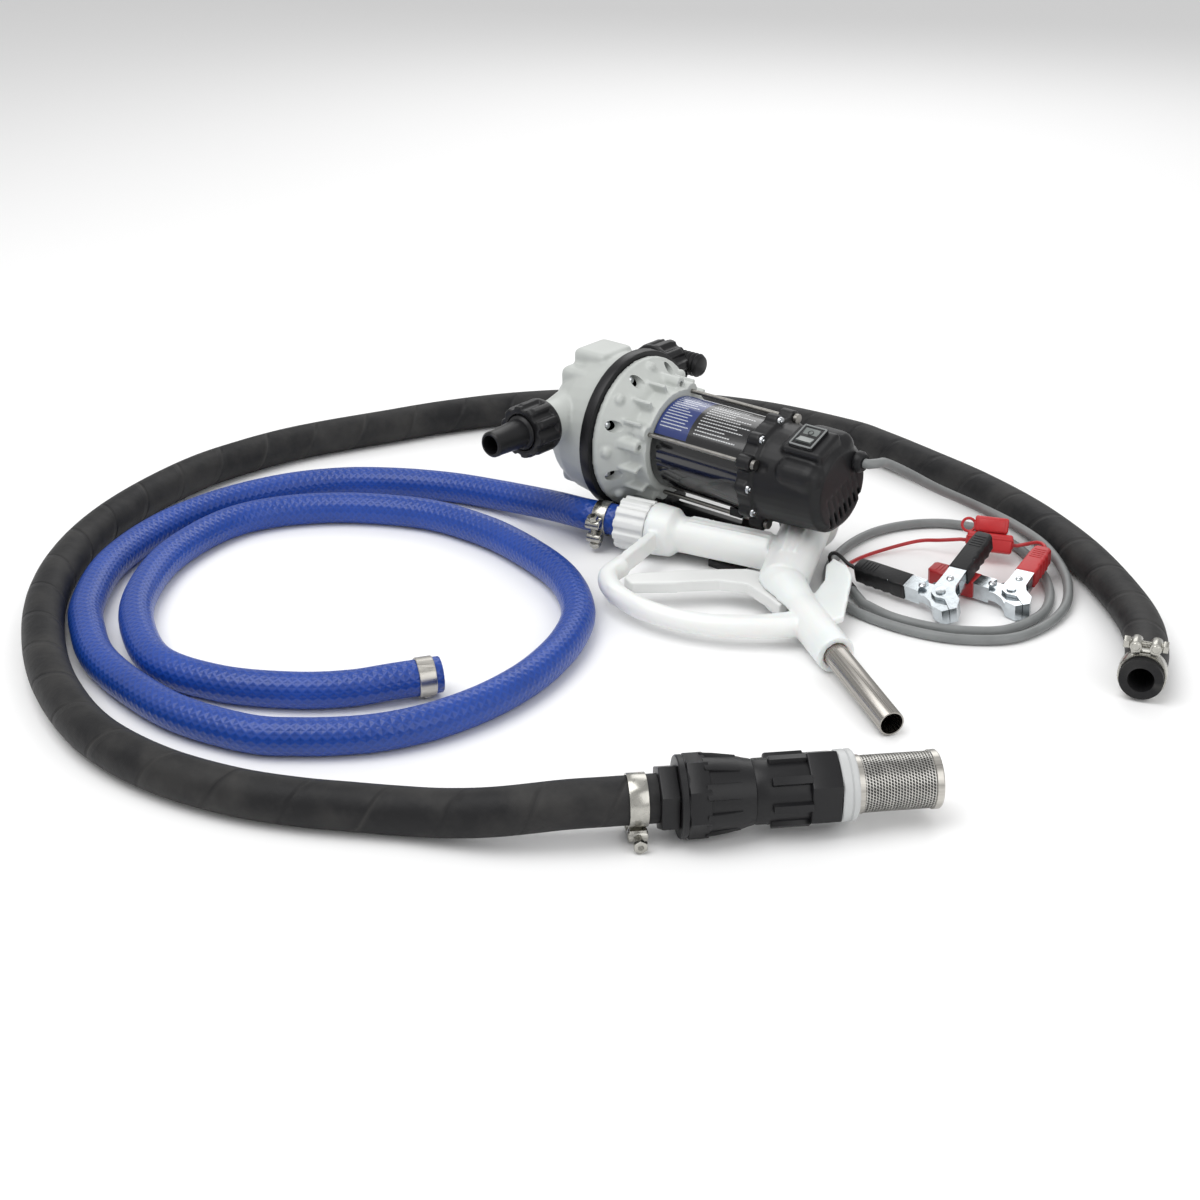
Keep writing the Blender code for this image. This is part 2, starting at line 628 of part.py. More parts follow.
def base(mats, housing_end, motor_end):
    """Two feet joined by a spine, with a saddle under the drive housing and the end cap."""
    low, high = FOOT_X
    fillet = 9.0
    inner_low = low + FOOT_W
    inner_high = high - FOOT_W
    quarter = math.pi / 2
    outline = [(low, -FOOT_Y), (inner_low, -FOOT_Y)]
    outline += arc(fillet, math.pi, quarter, 5, (inner_low + fillet, -SPINE_Y - fillet))
    outline += arc(fillet, quarter, 0, 5, (inner_high - fillet, -SPINE_Y - fillet))
    outline += [(inner_high, -FOOT_Y), (high, -FOOT_Y), (high, FOOT_Y), (inner_high, FOOT_Y)]
    outline += arc(fillet, 0, -quarter, 5, (inner_high - fillet, SPINE_Y + fillet))
    outline += arc(fillet, -quarter, -math.pi, 5, (inner_low + fillet, SPINE_Y + fillet))
    outline += [(inner_low, FOOT_Y), (low, FOOT_Y)]
    holes = [circle(3, 12, (x, y)) for x in (low + FOOT_W / 2, high - FOOT_W / 2)
             for y in (-FOOT_Y + 10, FOOT_Y - 10)]
    foot = plate("base_foot", (outline, *holes), 0, FOOT_T, mats["black"], Matrix())
    spine = box("spine", (RING_X + RING_T + 5, -SPINE_WEB, FOOT_T - 2), (high, SPINE_WEB, SPINE_TOP),
                None, Matrix(), cutter=True)
    join(foot, spine)
    saddles = (("front", housing_end - 16, 16, SPINE_TOP - 1, AXIS_H - HUB_R + 4),
               ("rear", motor_end - 20, 24, AXIS_H - MOTOR_R - 0.5, AXIS_H - MOTOR_R + 12))
    for side, x, half, arm_low, arm_high in saddles:
        web = box(side + "_web", (x, -SPINE_WEB, FOOT_T - 3), (x + 14, SPINE_WEB, arm_low + 3), None,
                  Matrix(), cutter=True)
        arm = box(side + "_arm", (x + 0.1, -half, arm_low), (x + 13.9, half, arm_high), None, Matrix(),
                  cutter=True)
        join(foot, web, arm)
    seat = housing_outline(RING_X + RING_T, housing_end, GAP * 2)
    seat_front = turned("seat_front", ((0, housing_end), *seat, (0, RING_X + RING_T)), None, PUMP,
                        FINE, cutter=True)
    seat_rear = rod("seat_rear", MOTOR_R + GAP, motor_end - 40, motor_end + 6, None, PUMP, FINE,
                    cutter=True)
    cut(foot, seat_front, seat_rear)
    for k in (1, 2, 3):
        angle = CLOCK + math.radians(45 + 90 * k)
        at = shifted(PUMP, ROD_CIRCLE * math.cos(angle), ROD_CIRCLE * math.sin(angle))
        channel = rod(f"rod_channel_{k}", ROD_R + 1.2, motor_end - 40, motor_end + 6, None, at, 12,
                      cutter=True)
        lug_room = rod(f"lug_room_{k}", 7.5 + GAP, housing_end - 24, housing_end + 8, None, at, 16,
                       cutter=True)
        cut(foot, channel, lug_room)


# ---------------------------------------------------------------- foot valve and strainer
def end_frame(route, back=18.0):
    """A frame on a hose near its free end, whose Z runs along the hose."""
    end = Vector(route[-1])
    direction = (end - Vector(route[-2])).normalized()
    return axes(end - direction * back, direction, (0, 0, 1))


def strainer_frame():
    direction = (math.cos(STRAINER_YAW), math.sin(STRAINER_YAW), 0)
    return axes(STRAINER_AT, direction, (0, 0, 1))


def strainer(mats, along):
    hose_stop = 23.0
    coupling_low = hose_stop + 12 + GAP
    coupling_high = coupling_low + COUPLING_LEN
    adapter = plate("strainer_adapter", (hexagon(23), circle(11)), hose_stop, hose_stop + 12,
                    mats["black"], along)
    spigot = sleeve("adapter_spigot", STRAINER_BORE - GAP, 11, hose_stop + 6, coupling_low + 14, None,
                    along, cutter=True)
    join(adapter, spigot)
    plate("strainer_coupling", (castellated(12, COUPLING_R, COUPLING_R - 2), circle(STRAINER_BORE, 32)),
          coupling_low, coupling_high, mats["black"], along)
    body_low = coupling_high + GAP
    body_high = body_low + 38
    seat_low = body_high - 8
    valve = turned("foot_valve_body",
                   ((VALVE_R, body_high), (VALVE_R, body_low + 10), (21.5, body_low + 8),
                    (21.5, body_low), (STRAINER_BORE - GAP, body_low),
                    (STRAINER_BORE - GAP, body_low - 12), (14, body_low - 12), (14, body_low + 4),
                    (17, body_low + 8), (17, seat_low), (9, seat_low), (9, body_high)),
                   mats["black"], along)
    turned("foot_valve_poppet",
           ((0, seat_low - GAP), (13, seat_low - GAP), (13, seat_low - 3.5), (3, seat_low - 4.5),
            (3, seat_low - 18), (0, seat_low - 18)), mats["white"], along, 24)
    hex_low = body_high - 3
    hex_nut = plate("strainer_hex", (hexagon(26), circle(15)), hex_low, body_high + 17, None, along,
                    cutter=True)
    join(valve, hex_nut)
    ring_low = body_high + 17 + GAP
    sleeve("seal_ring", 23.5, 15, ring_low, ring_low + 11, mats["seal"], along)
    basket_low = ring_low + 11 + GAP
    wall = 1.2
    turned("strainer_basket",
           ((0, basket_low + BASKET_LEN), (BASKET_R - 2, basket_low + BASKET_LEN),
            (BASKET_R, basket_low + BASKET_LEN - 2), (BASKET_R, basket_low),
            (BASKET_R - wall, basket_low), (BASKET_R - wall, basket_low + BASKET_LEN - 3),
            (0, basket_low + BASKET_LEN - 3)), mats["steel"], along)
    return hose_stop


# ---------------------------------------------------------------- nozzle
def nozzle_frame():
    up = Vector(NOZZLE_UP).normalized()
    along = Vector((math.cos(NOZZLE_YAW), math.sin(NOZZLE_YAW), 0))
    return axes(NOZZLE_AT, up, along)


def line_frame(plane, start, end):
    """A frame in the nozzle's plane whose Z runs from start to end."""
    first = plane @ (Vector((*start, 0)) * MM)
    second = plane @ (Vector((*end, 0)) * MM)
    return axes(first / MM, second - first, plane.col[2].xyz)


def nozzle(mats, plane):
    grip = line_frame(plane, (TAIL_U, 0), (60, 0))
    nut_len = 28.0
    plate("nozzle_tail_nut", (castellated(12, 23, 21), circle(9)), GAP, nut_len, mats["white"], grip)
    body_low = nut_len + GAP
    body = turned("nozzle_body",
                  ((0, 136), (GRIP_R, 136), (GRIP_R, body_low + 26), (21, body_low + 20),
                   (22.5, body_low + 4), (22, body_low), (0, body_low)), mats["white"], grip)
    cap_centre = (17.3, 63.7)
    knee = (37.0, -51.0)
    chamber = line_frame(plane, cap_centre, knee)
    chamber_len = math.dist(cap_centre, knee)
    barrel = rod("nozzle_chamber", CHAMBER_R, 0, chamber_len, None, chamber, cutter=True)
    tip = (180.0, -205.5)
    holder = line_frame(plane, knee, tip)
    holder_len = 112.0
    cone = turned("nozzle_holder",
                  ((0, holder_len), (HOLDER_R, holder_len), (HOLDER_R, 40), (CHAMBER_R - 1, 10),
                   (CHAMBER_R - 1, -6), (0, -18)), None, holder, cutter=True)
    outer = [(-92, -10), (-95, -40), (-98, -75), (-100, -98), (-82, -121), (-52, -135),
             (-20, -139), (12, -135), (46, -121), (74, -104), (92, -106)]
    inner = [(-85, -10), (-87, -40), (-90, -75), (-91, -95), (-77, -114), (-50, -127), (-20, -131),
             (10, -127), (42, -113), (66, -94), (78, -84)]
    guard = plate("nozzle_guard", (outer + inner[::-1],), -GUARD_HALF, GUARD_HALF, None, plane,
                  cutter=True)
    fin = plate("nozzle_hook", (((66, -62), (92, -92), (100, -80), (84, -14), (74, 2), (60, 8), (58, -4),
                                 (66, -30)),), -3, 3, None, plane, cutter=True)
    join(body, barrel, cone, guard, fin)
    bore = turned("chamber_bore",
                  ((0, 60), (5, 60), (5, 58), (13, 50), (13, -5), (0, -5)), None, chamber, 24,
                  cutter=True)
    spout_low = holder_len - 20
    socket = rod("spout_socket", SPOUT_R + GAP, spout_low - GAP, holder_len + 5, None, holder,
                 cutter=True)
    lever_slot = plate("lever_slot", (((-10, -32), (64, -40), (64, -110), (-10, -110)),),
                       -LEVER_HALF - 1, LEVER_HALF + 1, None, plane, cutter=True)
    cut(body, bore, socket, lever_slot)
    pin_at = shifted(plane, *LEVER_PIVOT)
    pin = rod("lever_pin", 3, -12, 12, None, pin_at, 16, cutter=True)
    join(body, pin)
    sleeve("spout", SPOUT_R, SPOUT_R - 1.2, spout_low, spout_low + SPOUT_LEN, mats["steel"], holder)
    cap_profile = ((0, -GAP), (CAP_NUT_R, -GAP), (CAP_NUT_R, -20), (CAP_NUT_R - 6, -25), (0, -25))
    turned("chamber_cap", cap_profile, mats["white"], chamber)
    turned("valve_stem", ((0, 46), (11, 46), (11, 38), (4, 36), (4, 7), (0, 7)), mats["steel"],
           chamber, 20)
    lever_outline = ((24, -42), (4, -42), (-12, -50), (-45, -68), (-76, -88), (-80, -97), (-70, -104),
                     (-42, -90), (-8, -70), (14, -66), (34, -78), (50, -88), (54, -80), (42, -62),
                     (34, -50))
    lever = plate("trigger_lever", (lever_outline[::-1],), -LEVER_HALF, LEVER_HALF, mats["white"], plane)
    hole = rod("lever_hole", 3 + RUN, -12, 12, None, pin_at, 16, cutter=True)
    cut(lever, hole)
    return grip


# ---------------------------------------------------------------- clips and fuse
def clip(name, pivot, jaw_direction, up, handle, metal):
    """Two levers that cross-pivot on a rivet: squeezing the handles opens the jaws."""
    flat = axes(pivot, up, jaw_direction)
    reach = (-math.cos(CLIP_HALF_ANGLE), math.sin(CLIP_HALF_ANGLE))
    side = (math.sin(CLIP_HALF_ANGLE), math.cos(CLIP_HALF_ANGLE))
    half = 6.5
    end = (reach[0] * handle, reach[1] * handle)
    outline = [
        (CLIP_JAW, GAP), (CLIP_JAW, 6), (CLIP_JAW - 9, 11), (5, 10.5), (-2, 12.8),
        (end[0] + side[0] * half, end[1] + side[1] * half),
        (end[0] - side[0] * half, end[1] - side[1] * half),
        (-15, 3.5), (-8, -4), (-2, -7.5), (5, -6), (9, -1), (11, GAP),
    ]
    upper = plate(name + "_upper", (outline,), -CLIP_HALF, CLIP_HALF, metal, flat)
    lower = plate(name + "_lower", ([(x, -y) for x, y in outline[::-1]],), -CLIP_HALF, CLIP_HALF, metal,
                  flat)
    inner = 4.0
    slot = rod(name + "_slot", CLIP_EAR, -inner - GAP, inner + GAP, None, flat, 24, cutter=True)
    rivet_hole = rod(name + "_rivet_hole", 2 + RUN, -12, 12, None, flat, 12, cutter=True)
    cut(upper, slot, rivet_hole)
    for sign in (-1, 1):
        low, high = sorted((sign * inner, sign * 12))
        side_cut = rod(f"{name}_side_{high:.0f}", CLIP_EAR, low, high, None, flat, 24, cutter=True)
        cut(lower, side_cut)
    head = CLIP_HALF + GAP
    rivet = turned(name + "_rivet",
                   ((0, head + 1.5), (4, head + 1), (4, head), (2, head), (2, -head), (4, -head),
                    (4, -head - 1), (0, -head - 1.5)), None, flat, 12, cutter=True)
    join(lower, rivet)
    return flat


def fuse_holder(mats):
    """An inline blade-fuse holder with a hinged lid, lying on the cable."""
    at = axes(FUSE_AT, (-0.17, 0.40, 0.90), (0.9, 0.43, 0))
    body = box("fuse_body", (-19, -9, -8), (19, 9, 8), mats["red"], at, 2)
    well = box("fuse_well", (-11, -4, -3), (11, 4, 12), None, at, cutter=True)
    cut(body, well)
    box("fuse_lid", (-14, -9, 8 + GAP), (14, 9, 22), mats["red"], at, 2)
    return at


def handle_end(flat, handle, upper, beyond):
    """The point beyond the end of a clip's handle, on the handle's middle line."""
    turn = math.pi - CLIP_HALF_ANGLE if upper else math.pi + CLIP_HALF_ANGLE
    reach = (handle + beyond) * MM
    return tuple(flat @ Vector((reach * math.cos(turn), reach * math.sin(turn), 0)) / MM)


def leads(mats, fuse, red_flat, black_flat):
    """The sleeve where the cable splits, its two cores and the fused lead to the red clip."""
    end = Vector(CABLE_ROUTE[-1])
    direction = (end - Vector(CABLE_ROUTE[-2])).normalized()
    direction.z = 0
    split = axes(end, direction, (0, 0, 1))
    rod("cable_split", SPLIT_R, GAP, GAP + SPLIT_LEN, mats["cable"], split, 16)
    start = GAP * 2 + SPLIT_LEN

    def at_split(side, z):
        return tuple(split @ Vector((0, side * CORE_APART * MM, z * MM)) / MM)

    def at_fuse(side, x):
        return tuple(fuse @ Vector((side * x * MM, 0, 0)) / MM)

    red = [at_split(-1, start), at_split(-1, start + 3), *RED_CORE_ROUTE, at_fuse(-1, 24),
           at_fuse(-1, 19 + GAP)]
    tube("red_core", cord_route(red, CORE_STEP), CORE_R, mats["red"])
    fused = [at_fuse(1, 19 + GAP), at_fuse(1, 23), *FUSED_LEAD_ROUTE,
             handle_end(red_flat, RED_HANDLE, True, 5), handle_end(red_flat, RED_HANDLE, True, GAP * 2)]
    tube("fused_lead", cord_route(fused, CORE_STEP), CORE_R, mats["red"])
    black = [at_split(1, start), at_split(1, start + 3), *BLACK_CORE_ROUTE,
             handle_end(black_flat, BLACK_HANDLE, False, 6),
             handle_end(black_flat, BLACK_HANDLE, False, GAP * 2)]
    tube("black_core", cord_route(black, CORE_STEP), CORE_R, mats["rubber"])


def build():
    clear_scene()
    mats = make_materials()
    near, far = pump_head(mats)
    port_fittings(mats, near, far)
    diaphragm_and_valves(mats)
    housing_end = drive_housing(mats)
    motor_end = motor(mats, housing_end)
    rotor(mats, housing_end, motor_end)
    brush_gear(mats, motor_end)
    switch, outlet = end_cap(mats, motor_end)
    switch_parts(mats, switch)
    gland(mats, outlet)
    base(mats, housing_end, motor_end)
    along = strainer_frame()
    hose_stop = strainer(mats, along)
    plane = nozzle_frame()
    grip = nozzle(mats, plane)

    def on(frame, z):
        return tuple((frame @ Vector((0, 0, z * MM))) / MM)

    suction = [on(along, hose_stop - GAP), on(along, -10), on(along, -36),
               (160, -458, 23), (131, -475, 18.5), *SUCTION_ROUTE]
    tube("suction_hose", cord_route(suction, SUCTION_STEP), SUCTION_R, mats["rubber"])
    band("strainer_clamp", SUCTION_R, shifted(along, z=3) @ Matrix.Rotation(math.radians(190), 4, "Z"),
         mats["steel"], 8)
    delivery = [on(grip, 0), on(grip, -25), on(grip, -36), *DELIVERY_ROUTE]
    band("suction_end_clamp", SUCTION_R, end_frame(suction), mats["steel"], 12)
    tube("delivery_hose", cord_route(delivery, DELIVERY_STEP), DELIVERY_R, mats["blue"])
    band("nozzle_clamp", DELIVERY_R, shifted(grip, z=-24) @ Matrix.Rotation(math.radians(100), 4, "Z"),
         mats["steel"], 10)
    bore = DELIVERY_R + BAND_FIT
    sleeve("delivery_end_clamp", bore + BAND_T, bore, 0, BAND_W, mats["steel"], end_frame(delivery))
    cable = [on(outlet, GLAND_OUT + GAP), on(outlet, GLAND_OUT + 4), (133.5, 28, 103.5), *CABLE_ROUTE]
    tube("power_cable", cord_route(cable, CABLE_STEP), CABLE_R, mats["cable"])
    black_flat = clip("clip_black", (211, 8, 14.5), (0.717, -0.667, -0.2), (-0.007, -0.294, 0.954),
                      BLACK_HANDLE, mats["steel"])
    red_flat = clip("clip_red", (249, 53, 10.7), (0.762, -0.640, -0.1), (0.012, -0.14, 0.99), RED_HANDLE,
                    mats["steel"])
    leads(mats, fuse_holder(mats), red_flat, black_flat)


build()
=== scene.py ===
"""Fluid transfer pump kit, as an add-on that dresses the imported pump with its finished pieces."""
import math

import bmesh
import bpy
from mathutils import Matrix, Vector


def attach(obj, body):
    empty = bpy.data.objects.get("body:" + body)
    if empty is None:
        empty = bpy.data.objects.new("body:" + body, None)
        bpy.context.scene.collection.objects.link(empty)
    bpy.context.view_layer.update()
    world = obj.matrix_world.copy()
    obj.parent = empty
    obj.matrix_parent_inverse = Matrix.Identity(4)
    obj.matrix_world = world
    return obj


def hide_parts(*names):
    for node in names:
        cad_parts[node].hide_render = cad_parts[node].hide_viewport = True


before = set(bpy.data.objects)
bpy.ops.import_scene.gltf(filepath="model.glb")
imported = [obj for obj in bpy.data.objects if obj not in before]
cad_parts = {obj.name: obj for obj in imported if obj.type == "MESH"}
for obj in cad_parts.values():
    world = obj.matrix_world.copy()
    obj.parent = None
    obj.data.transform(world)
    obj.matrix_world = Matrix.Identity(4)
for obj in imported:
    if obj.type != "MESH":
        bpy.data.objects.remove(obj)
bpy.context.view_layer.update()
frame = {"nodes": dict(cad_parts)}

bl_info = {
    "name": "Fluid transfer pump",
    "version": (1, 0, 0),
    "blender": (4, 5, 0),
    "location": "3D View > Sidebar > Pump",
    "description": "Builds the finished pieces of a 12 V fluid transfer pump kit",
    "category": "Object",
}

MM = 0.001
KIT = "kit"
GAP = 0.3
WELD = 0.000005  # vertices closer than this become one, in metres
CRISP = 35.0  # edges sharper than this stay hard, in degrees

# ---------------------------------------------------------------- places, in mm
AXIS_H = 86.0
HOUSING_START = -90.0
HOUSING_END = -48.0
MOTOR_END = 44.0
FLANGE_END = 58.0
CAP_END = 118.0
MOTOR_R = 40.0
ROD_CIRCLE = 44.5
SCREW_CIRCLE = 57.5
LABEL_FROM = 72
LABEL_TO = 152
STICKER_SPLIT = -14
HOSE_BORE = 9.6
SUCTION_BAND_R = 16.0
DELIVERY_BAND_R = 13.5
CLOCK = math.radians(21)
GRIP_TAIL = (-127.3, 0)
STRAINER_AT = (217.0, -403.0, 27.5)
STRAINER_YAW = math.radians(47.1)
HOSE_STOP = 23.0
NOZZLE_AT = (60.5, -26.5, 23.9)
NOZZLE_YAW = math.radians(13.5)
NOZZLE_UP = (0.0268, -0.0465, 1.0)
FUSE_AT = (190.0, 124.0, 16.5)
CLIP_HALF_ANGLE = math.radians(42)
CLIPS = {
    "black": ((211, 8, 14.5), (0.717, -0.667, -0.2), (-0.007, -0.294, 0.954), 76.0),
    "red": ((249, 53, 10.7), (0.762, -0.640, -0.1), (0.012, -0.14, 0.99), 68.0),
}
TURNING_HALVES = (("black", "upper"), ("red", "lower"))
SPLIT_LEN = 16.0
CORE_APART = 1.9

SUCTION_ROUTE = (
    (104, -489, 16.2), (76, -506, 16.2), (45, -524, 16.2), (4, -542, 16.2), (-50, -555, 16.2),
    (-107, -557, 16.2), (-160, -547, 16.2), (-224, -522, 16.2), (-286, -485, 16.2),
    (-337, -444, 16.2), (-380, -395, 16.2), (-414, -338, 16.2), (-437, -274, 16.2),
    (-450, -205, 16.2), (-448, -150, 16.2), (-440, -103, 16.2), (-426, -61, 16.2),
    (-405, -12, 16.2), (-378, 50, 16.2), (-339, 115, 16.2), (-285, 173, 16.2),
    (-215, 220, 16.2), (-130, 252, 16.2), (-40, 262, 16.2), (0, 257, 16.2), (64, 241, 16.2),
    (126, 223, 16.2), (194, 194, 16.2), (258, 154, 16.2), (312, 108, 16.2), (354, 62, 17.0),
    (380, 17, 18.4), (395, -26, 18.4),
)
DELIVERY_ROUTE = (
    (-141, -59, 20.5), (-203, -63, 15.5), (-251, -74, 13.7), (-297, -98, 13.7),
    (-337, -131, 13.7), (-366, -177, 13.7), (-381, -238, 13.7), (-377, -305, 13.7),
    (-350, -375, 13.7), (-303, -432, 13.7), (-266, -459, 13.7), (-221, -482, 13.7),
    (-166, -494, 13.7), (-107, -497, 13.7), (-50, -484, 13.7), (-20, -465, 13.7),
    (8, -439, 13.7), (27, -412, 13.7), (40, -379, 13.7), (47, -336, 13.7), (44, -287, 13.7),
    (28, -234, 13.7), (0, -190, 13.7), (-52, -152, 13.7), (-125, -130, 13.7),
    (-180, -126, 13.7), (-229, -134, 13.7), (-287, -166, 13.7), (-328, -212, 13.7),
    (-342, -263, 13.7), (-325, -334, 13.7), (-284, -395, 13.7), (-238, -433, 13.7),
    (-179, -458, 13.7), (-120, -449, 13.7), (-72, -422, 13.7), (-42, -395, 14.4),
    (-23, -369, 15.8), (-5, -340, 15.8),
)
CABLE_ROUTE = (
    (133, 40, 100), (138, 66, 85), (147, 102, 62), (157, 138, 41), (173, 155, 29),
    (198, 156, 23), (229, 146, 18), (258, 123, 13), (276, 99, 9), (287, 71, 5.5),
    (289, 35, 4.2), (279, -1, 4.2), (253, -25, 4.2), (224, -37, 4.2), (187, -41, 4.2),
    (148, -34, 4.2), (119, -12, 4.2), (97, 23, 4.2), (87, 68, 4.2), (90, 108, 4.2),
    (106, 141, 4.2), (131, 163, 4.2), (164, 169, 4.2), (205, 153, 4.2), (240, 123, 4.2),
    (260, 98, 4.2), (273, 71, 4.2), (277, 45, 4.2), (269, 10, 4.2), (247, -11, 4.2),
    (219, -24, 4.2), (187, -28, 4.2), (158, -22, 4.2), (138, -7, 4.2),
)
RED_CORE_ROUTE = ((116, 7, 2.6), (109.5, 20, 2.0), (105, 45, 1.8), (112, 74, 3.0),
                  (132, 104, 8.0), (152, 109, 13.0))
FUSED_LEAD_ROUTE = ((217, 136, 18.5), (228, 137, 23.0), (237, 131, 23.5))
BLACK_CORE_ROUTE = ((118.5, 10.2, 5.8), (112, 13.3, 6.6), (106, 14.9, 8.2), (102.2, 14.9, 11.7),
                    (101.2, 14.3, 16), (103.4, 13.3, 20), (108.4, 12.3, 22.2), (114.4, 11.2, 20.8),
                    (121, 10.7, 17.2))


# ---------------------------------------------------------------- frames and routes
def axes(origin, z_axis, x_hint=(0, 0, 1)):
    """A frame at origin in mm whose local Z runs along z_axis and whose X leans to x_hint."""
    z = Vector(z_axis).normalized()
    hint = Vector(x_hint)
    x = (hint - z * hint.dot(z)).normalized()
    turn = Matrix((x, z.cross(x), z)).transposed().to_4x4()
    return Matrix.Translation(Vector(origin) * MM) @ turn


def shifted(place, x=0.0, y=0.0, z=0.0):
    return place @ Matrix.Translation(Vector((x, y, z)) * MM)


def spun(place, degrees, axis="Z"):
    return place @ Matrix.Rotation(math.radians(degrees), 4, axis)


def point_on(place, x=0.0, y=0.0, z=0.0):
    return tuple(place @ (Vector((x, y, z)) * MM) / MM)


def smooth_route(points, spacing):
    """Points about spacing apart on a smooth curve through the route's own points."""
    knots = [Vector(p) for p in points]
    knots = [knots[0] * 2 - knots[1], *knots, knots[-1] * 2 - knots[-2]]
    dense = []
    for a, b, c, d in zip(knots, knots[1:], knots[2:], knots[3:]):
        for step in range(16):
            t = step / 16
            dense.append(0.5 * (2 * b + (c - a) * t + (2 * a - 5 * b + 4 * c - d) * t * t
                                + (3 * b - a - 3 * c + d) * t ** 3))
    dense.append(knots[-2])
    lengths = [0.0]
    for first, second in zip(dense, dense[1:]):
        lengths.append(lengths[-1] + (second - first).length)
    count = max(2, round(lengths[-1] / spacing))
    out = []
    index = 0
    for k in range(count + 1):
        wanted = lengths[-1] * k / count
        while index < len(lengths) - 2 and lengths[index + 1] < wanted:
            index += 1
        share = (wanted - lengths[index]) / (lengths[index + 1] - lengths[index])
        out.append(tuple(dense[index].lerp(dense[index + 1], min(share, 1.0))))
    return out


def metres(point):
    return [c * MM for c in point]


PUMP = axes((0, 0, AXIS_H), (1, 0, 0), (0, 1, 0))
STRAINER = axes(STRAINER_AT, (math.cos(STRAINER_YAW), math.sin(STRAINER_YAW), 0))
NOZZLE = axes(NOZZLE_AT, Vector(NOZZLE_UP), (math.cos(NOZZLE_YAW), math.sin(NOZZLE_YAW), 0))
OUTLET = axes((CAP_END, 20, AXIS_H + 18), (1, 0, 0), (0, 1, 0))
SWITCH = axes((FLANGE_END + 36, 0, AXIS_H), (0, -math.sin(CLOCK), math.cos(CLOCK)), (1, 0, 0))
FUSE = axes(FUSE_AT, (-0.17, 0.40, 0.90), (0.9, 0.43, 0))
NEAR = axes((-134, -30, 104), (0, -1, 0))
FAR = axes((-130, 20, 115), (0, 1, 0))
NEAR_BOSS = 60.0
FAR_BOSS = 57.5


def line_frame(plane, start, end):
    """A frame in a plane whose Z runs from start to end."""
    first = Vector(point_on(plane, *start))
    second = Vector(point_on(plane, *end))
    return axes(first, second - first, plane.col[2].xyz)


GRIP = line_frame(NOZZLE, GRIP_TAIL, (60, 0))
CHAMBER = line_frame(NOZZLE, (17.3, 63.7), (37.0, -51.0))
HOLDER = line_frame(NOZZLE, (37.0, -51.0), (180.0, -205.5))
SUCTION = [point_on(STRAINER, z=HOSE_STOP - GAP), point_on(STRAINER, z=-10),
           point_on(STRAINER, z=-36), (160, -458, 23), (131, -475, 18.5), *SUCTION_ROUTE]
DELIVERY = [point_on(GRIP), point_on(GRIP, z=-25), point_on(GRIP, z=-36), *DELIVERY_ROUTE]
CABLE = [point_on(OUTLET, z=7.3), point_on(OUTLET, z=11), (133.5, 28, 103.5), *CABLE_ROUTE]


def split_frame():
    direction = Vector(CABLE_ROUTE[-1]) - Vector(CABLE_ROUTE[-2])
    direction.z = 0
    return axes(CABLE_ROUTE[-1], direction)


SPLIT = split_frame()


def clip_frame(colour):
    pivot, jaw, up, handle = CLIPS[colour]
    return axes(pivot, up, jaw), handle


def handle_end(colour, upper, beyond):
    flat, handle = clip_frame(colour)
    turn = math.pi - CLIP_HALF_ANGLE if upper else math.pi + CLIP_HALF_ANGLE
    reach = handle + beyond
    return point_on(flat, reach * math.cos(turn), reach * math.sin(turn))


# ---------------------------------------------------------------- shader maths
class Socket:
    """A shader value that takes part in sums, products and comparisons."""

    def __init__(self, finish, socket):
        self.finish = finish
        self.socket = socket

    def math(self, operation, *others):
        sockets = dict(enumerate((self, *others)))
        return self.finish.node("ShaderNodeMath", {"operation": operation}, sockets)

    def back(self, operation, other):
        return self.finish.node("ShaderNodeMath", {"operation": operation}, {0: other, 1: self})

    def __add__(self, other):
        return self.math("ADD", other)

    def __sub__(self, other):
        return self.math("SUBTRACT", other)

    def __rsub__(self, other):
        return self.back("SUBTRACT", other)

    def __mul__(self, other):
        return self.math("MULTIPLY", other)

    def __truediv__(self, other):
        return self.math("DIVIDE", other)

    def __gt__(self, other):
        return self.math("GREATER_THAN", other)

    def __lt__(self, other):
        return self.math("LESS_THAN", other)



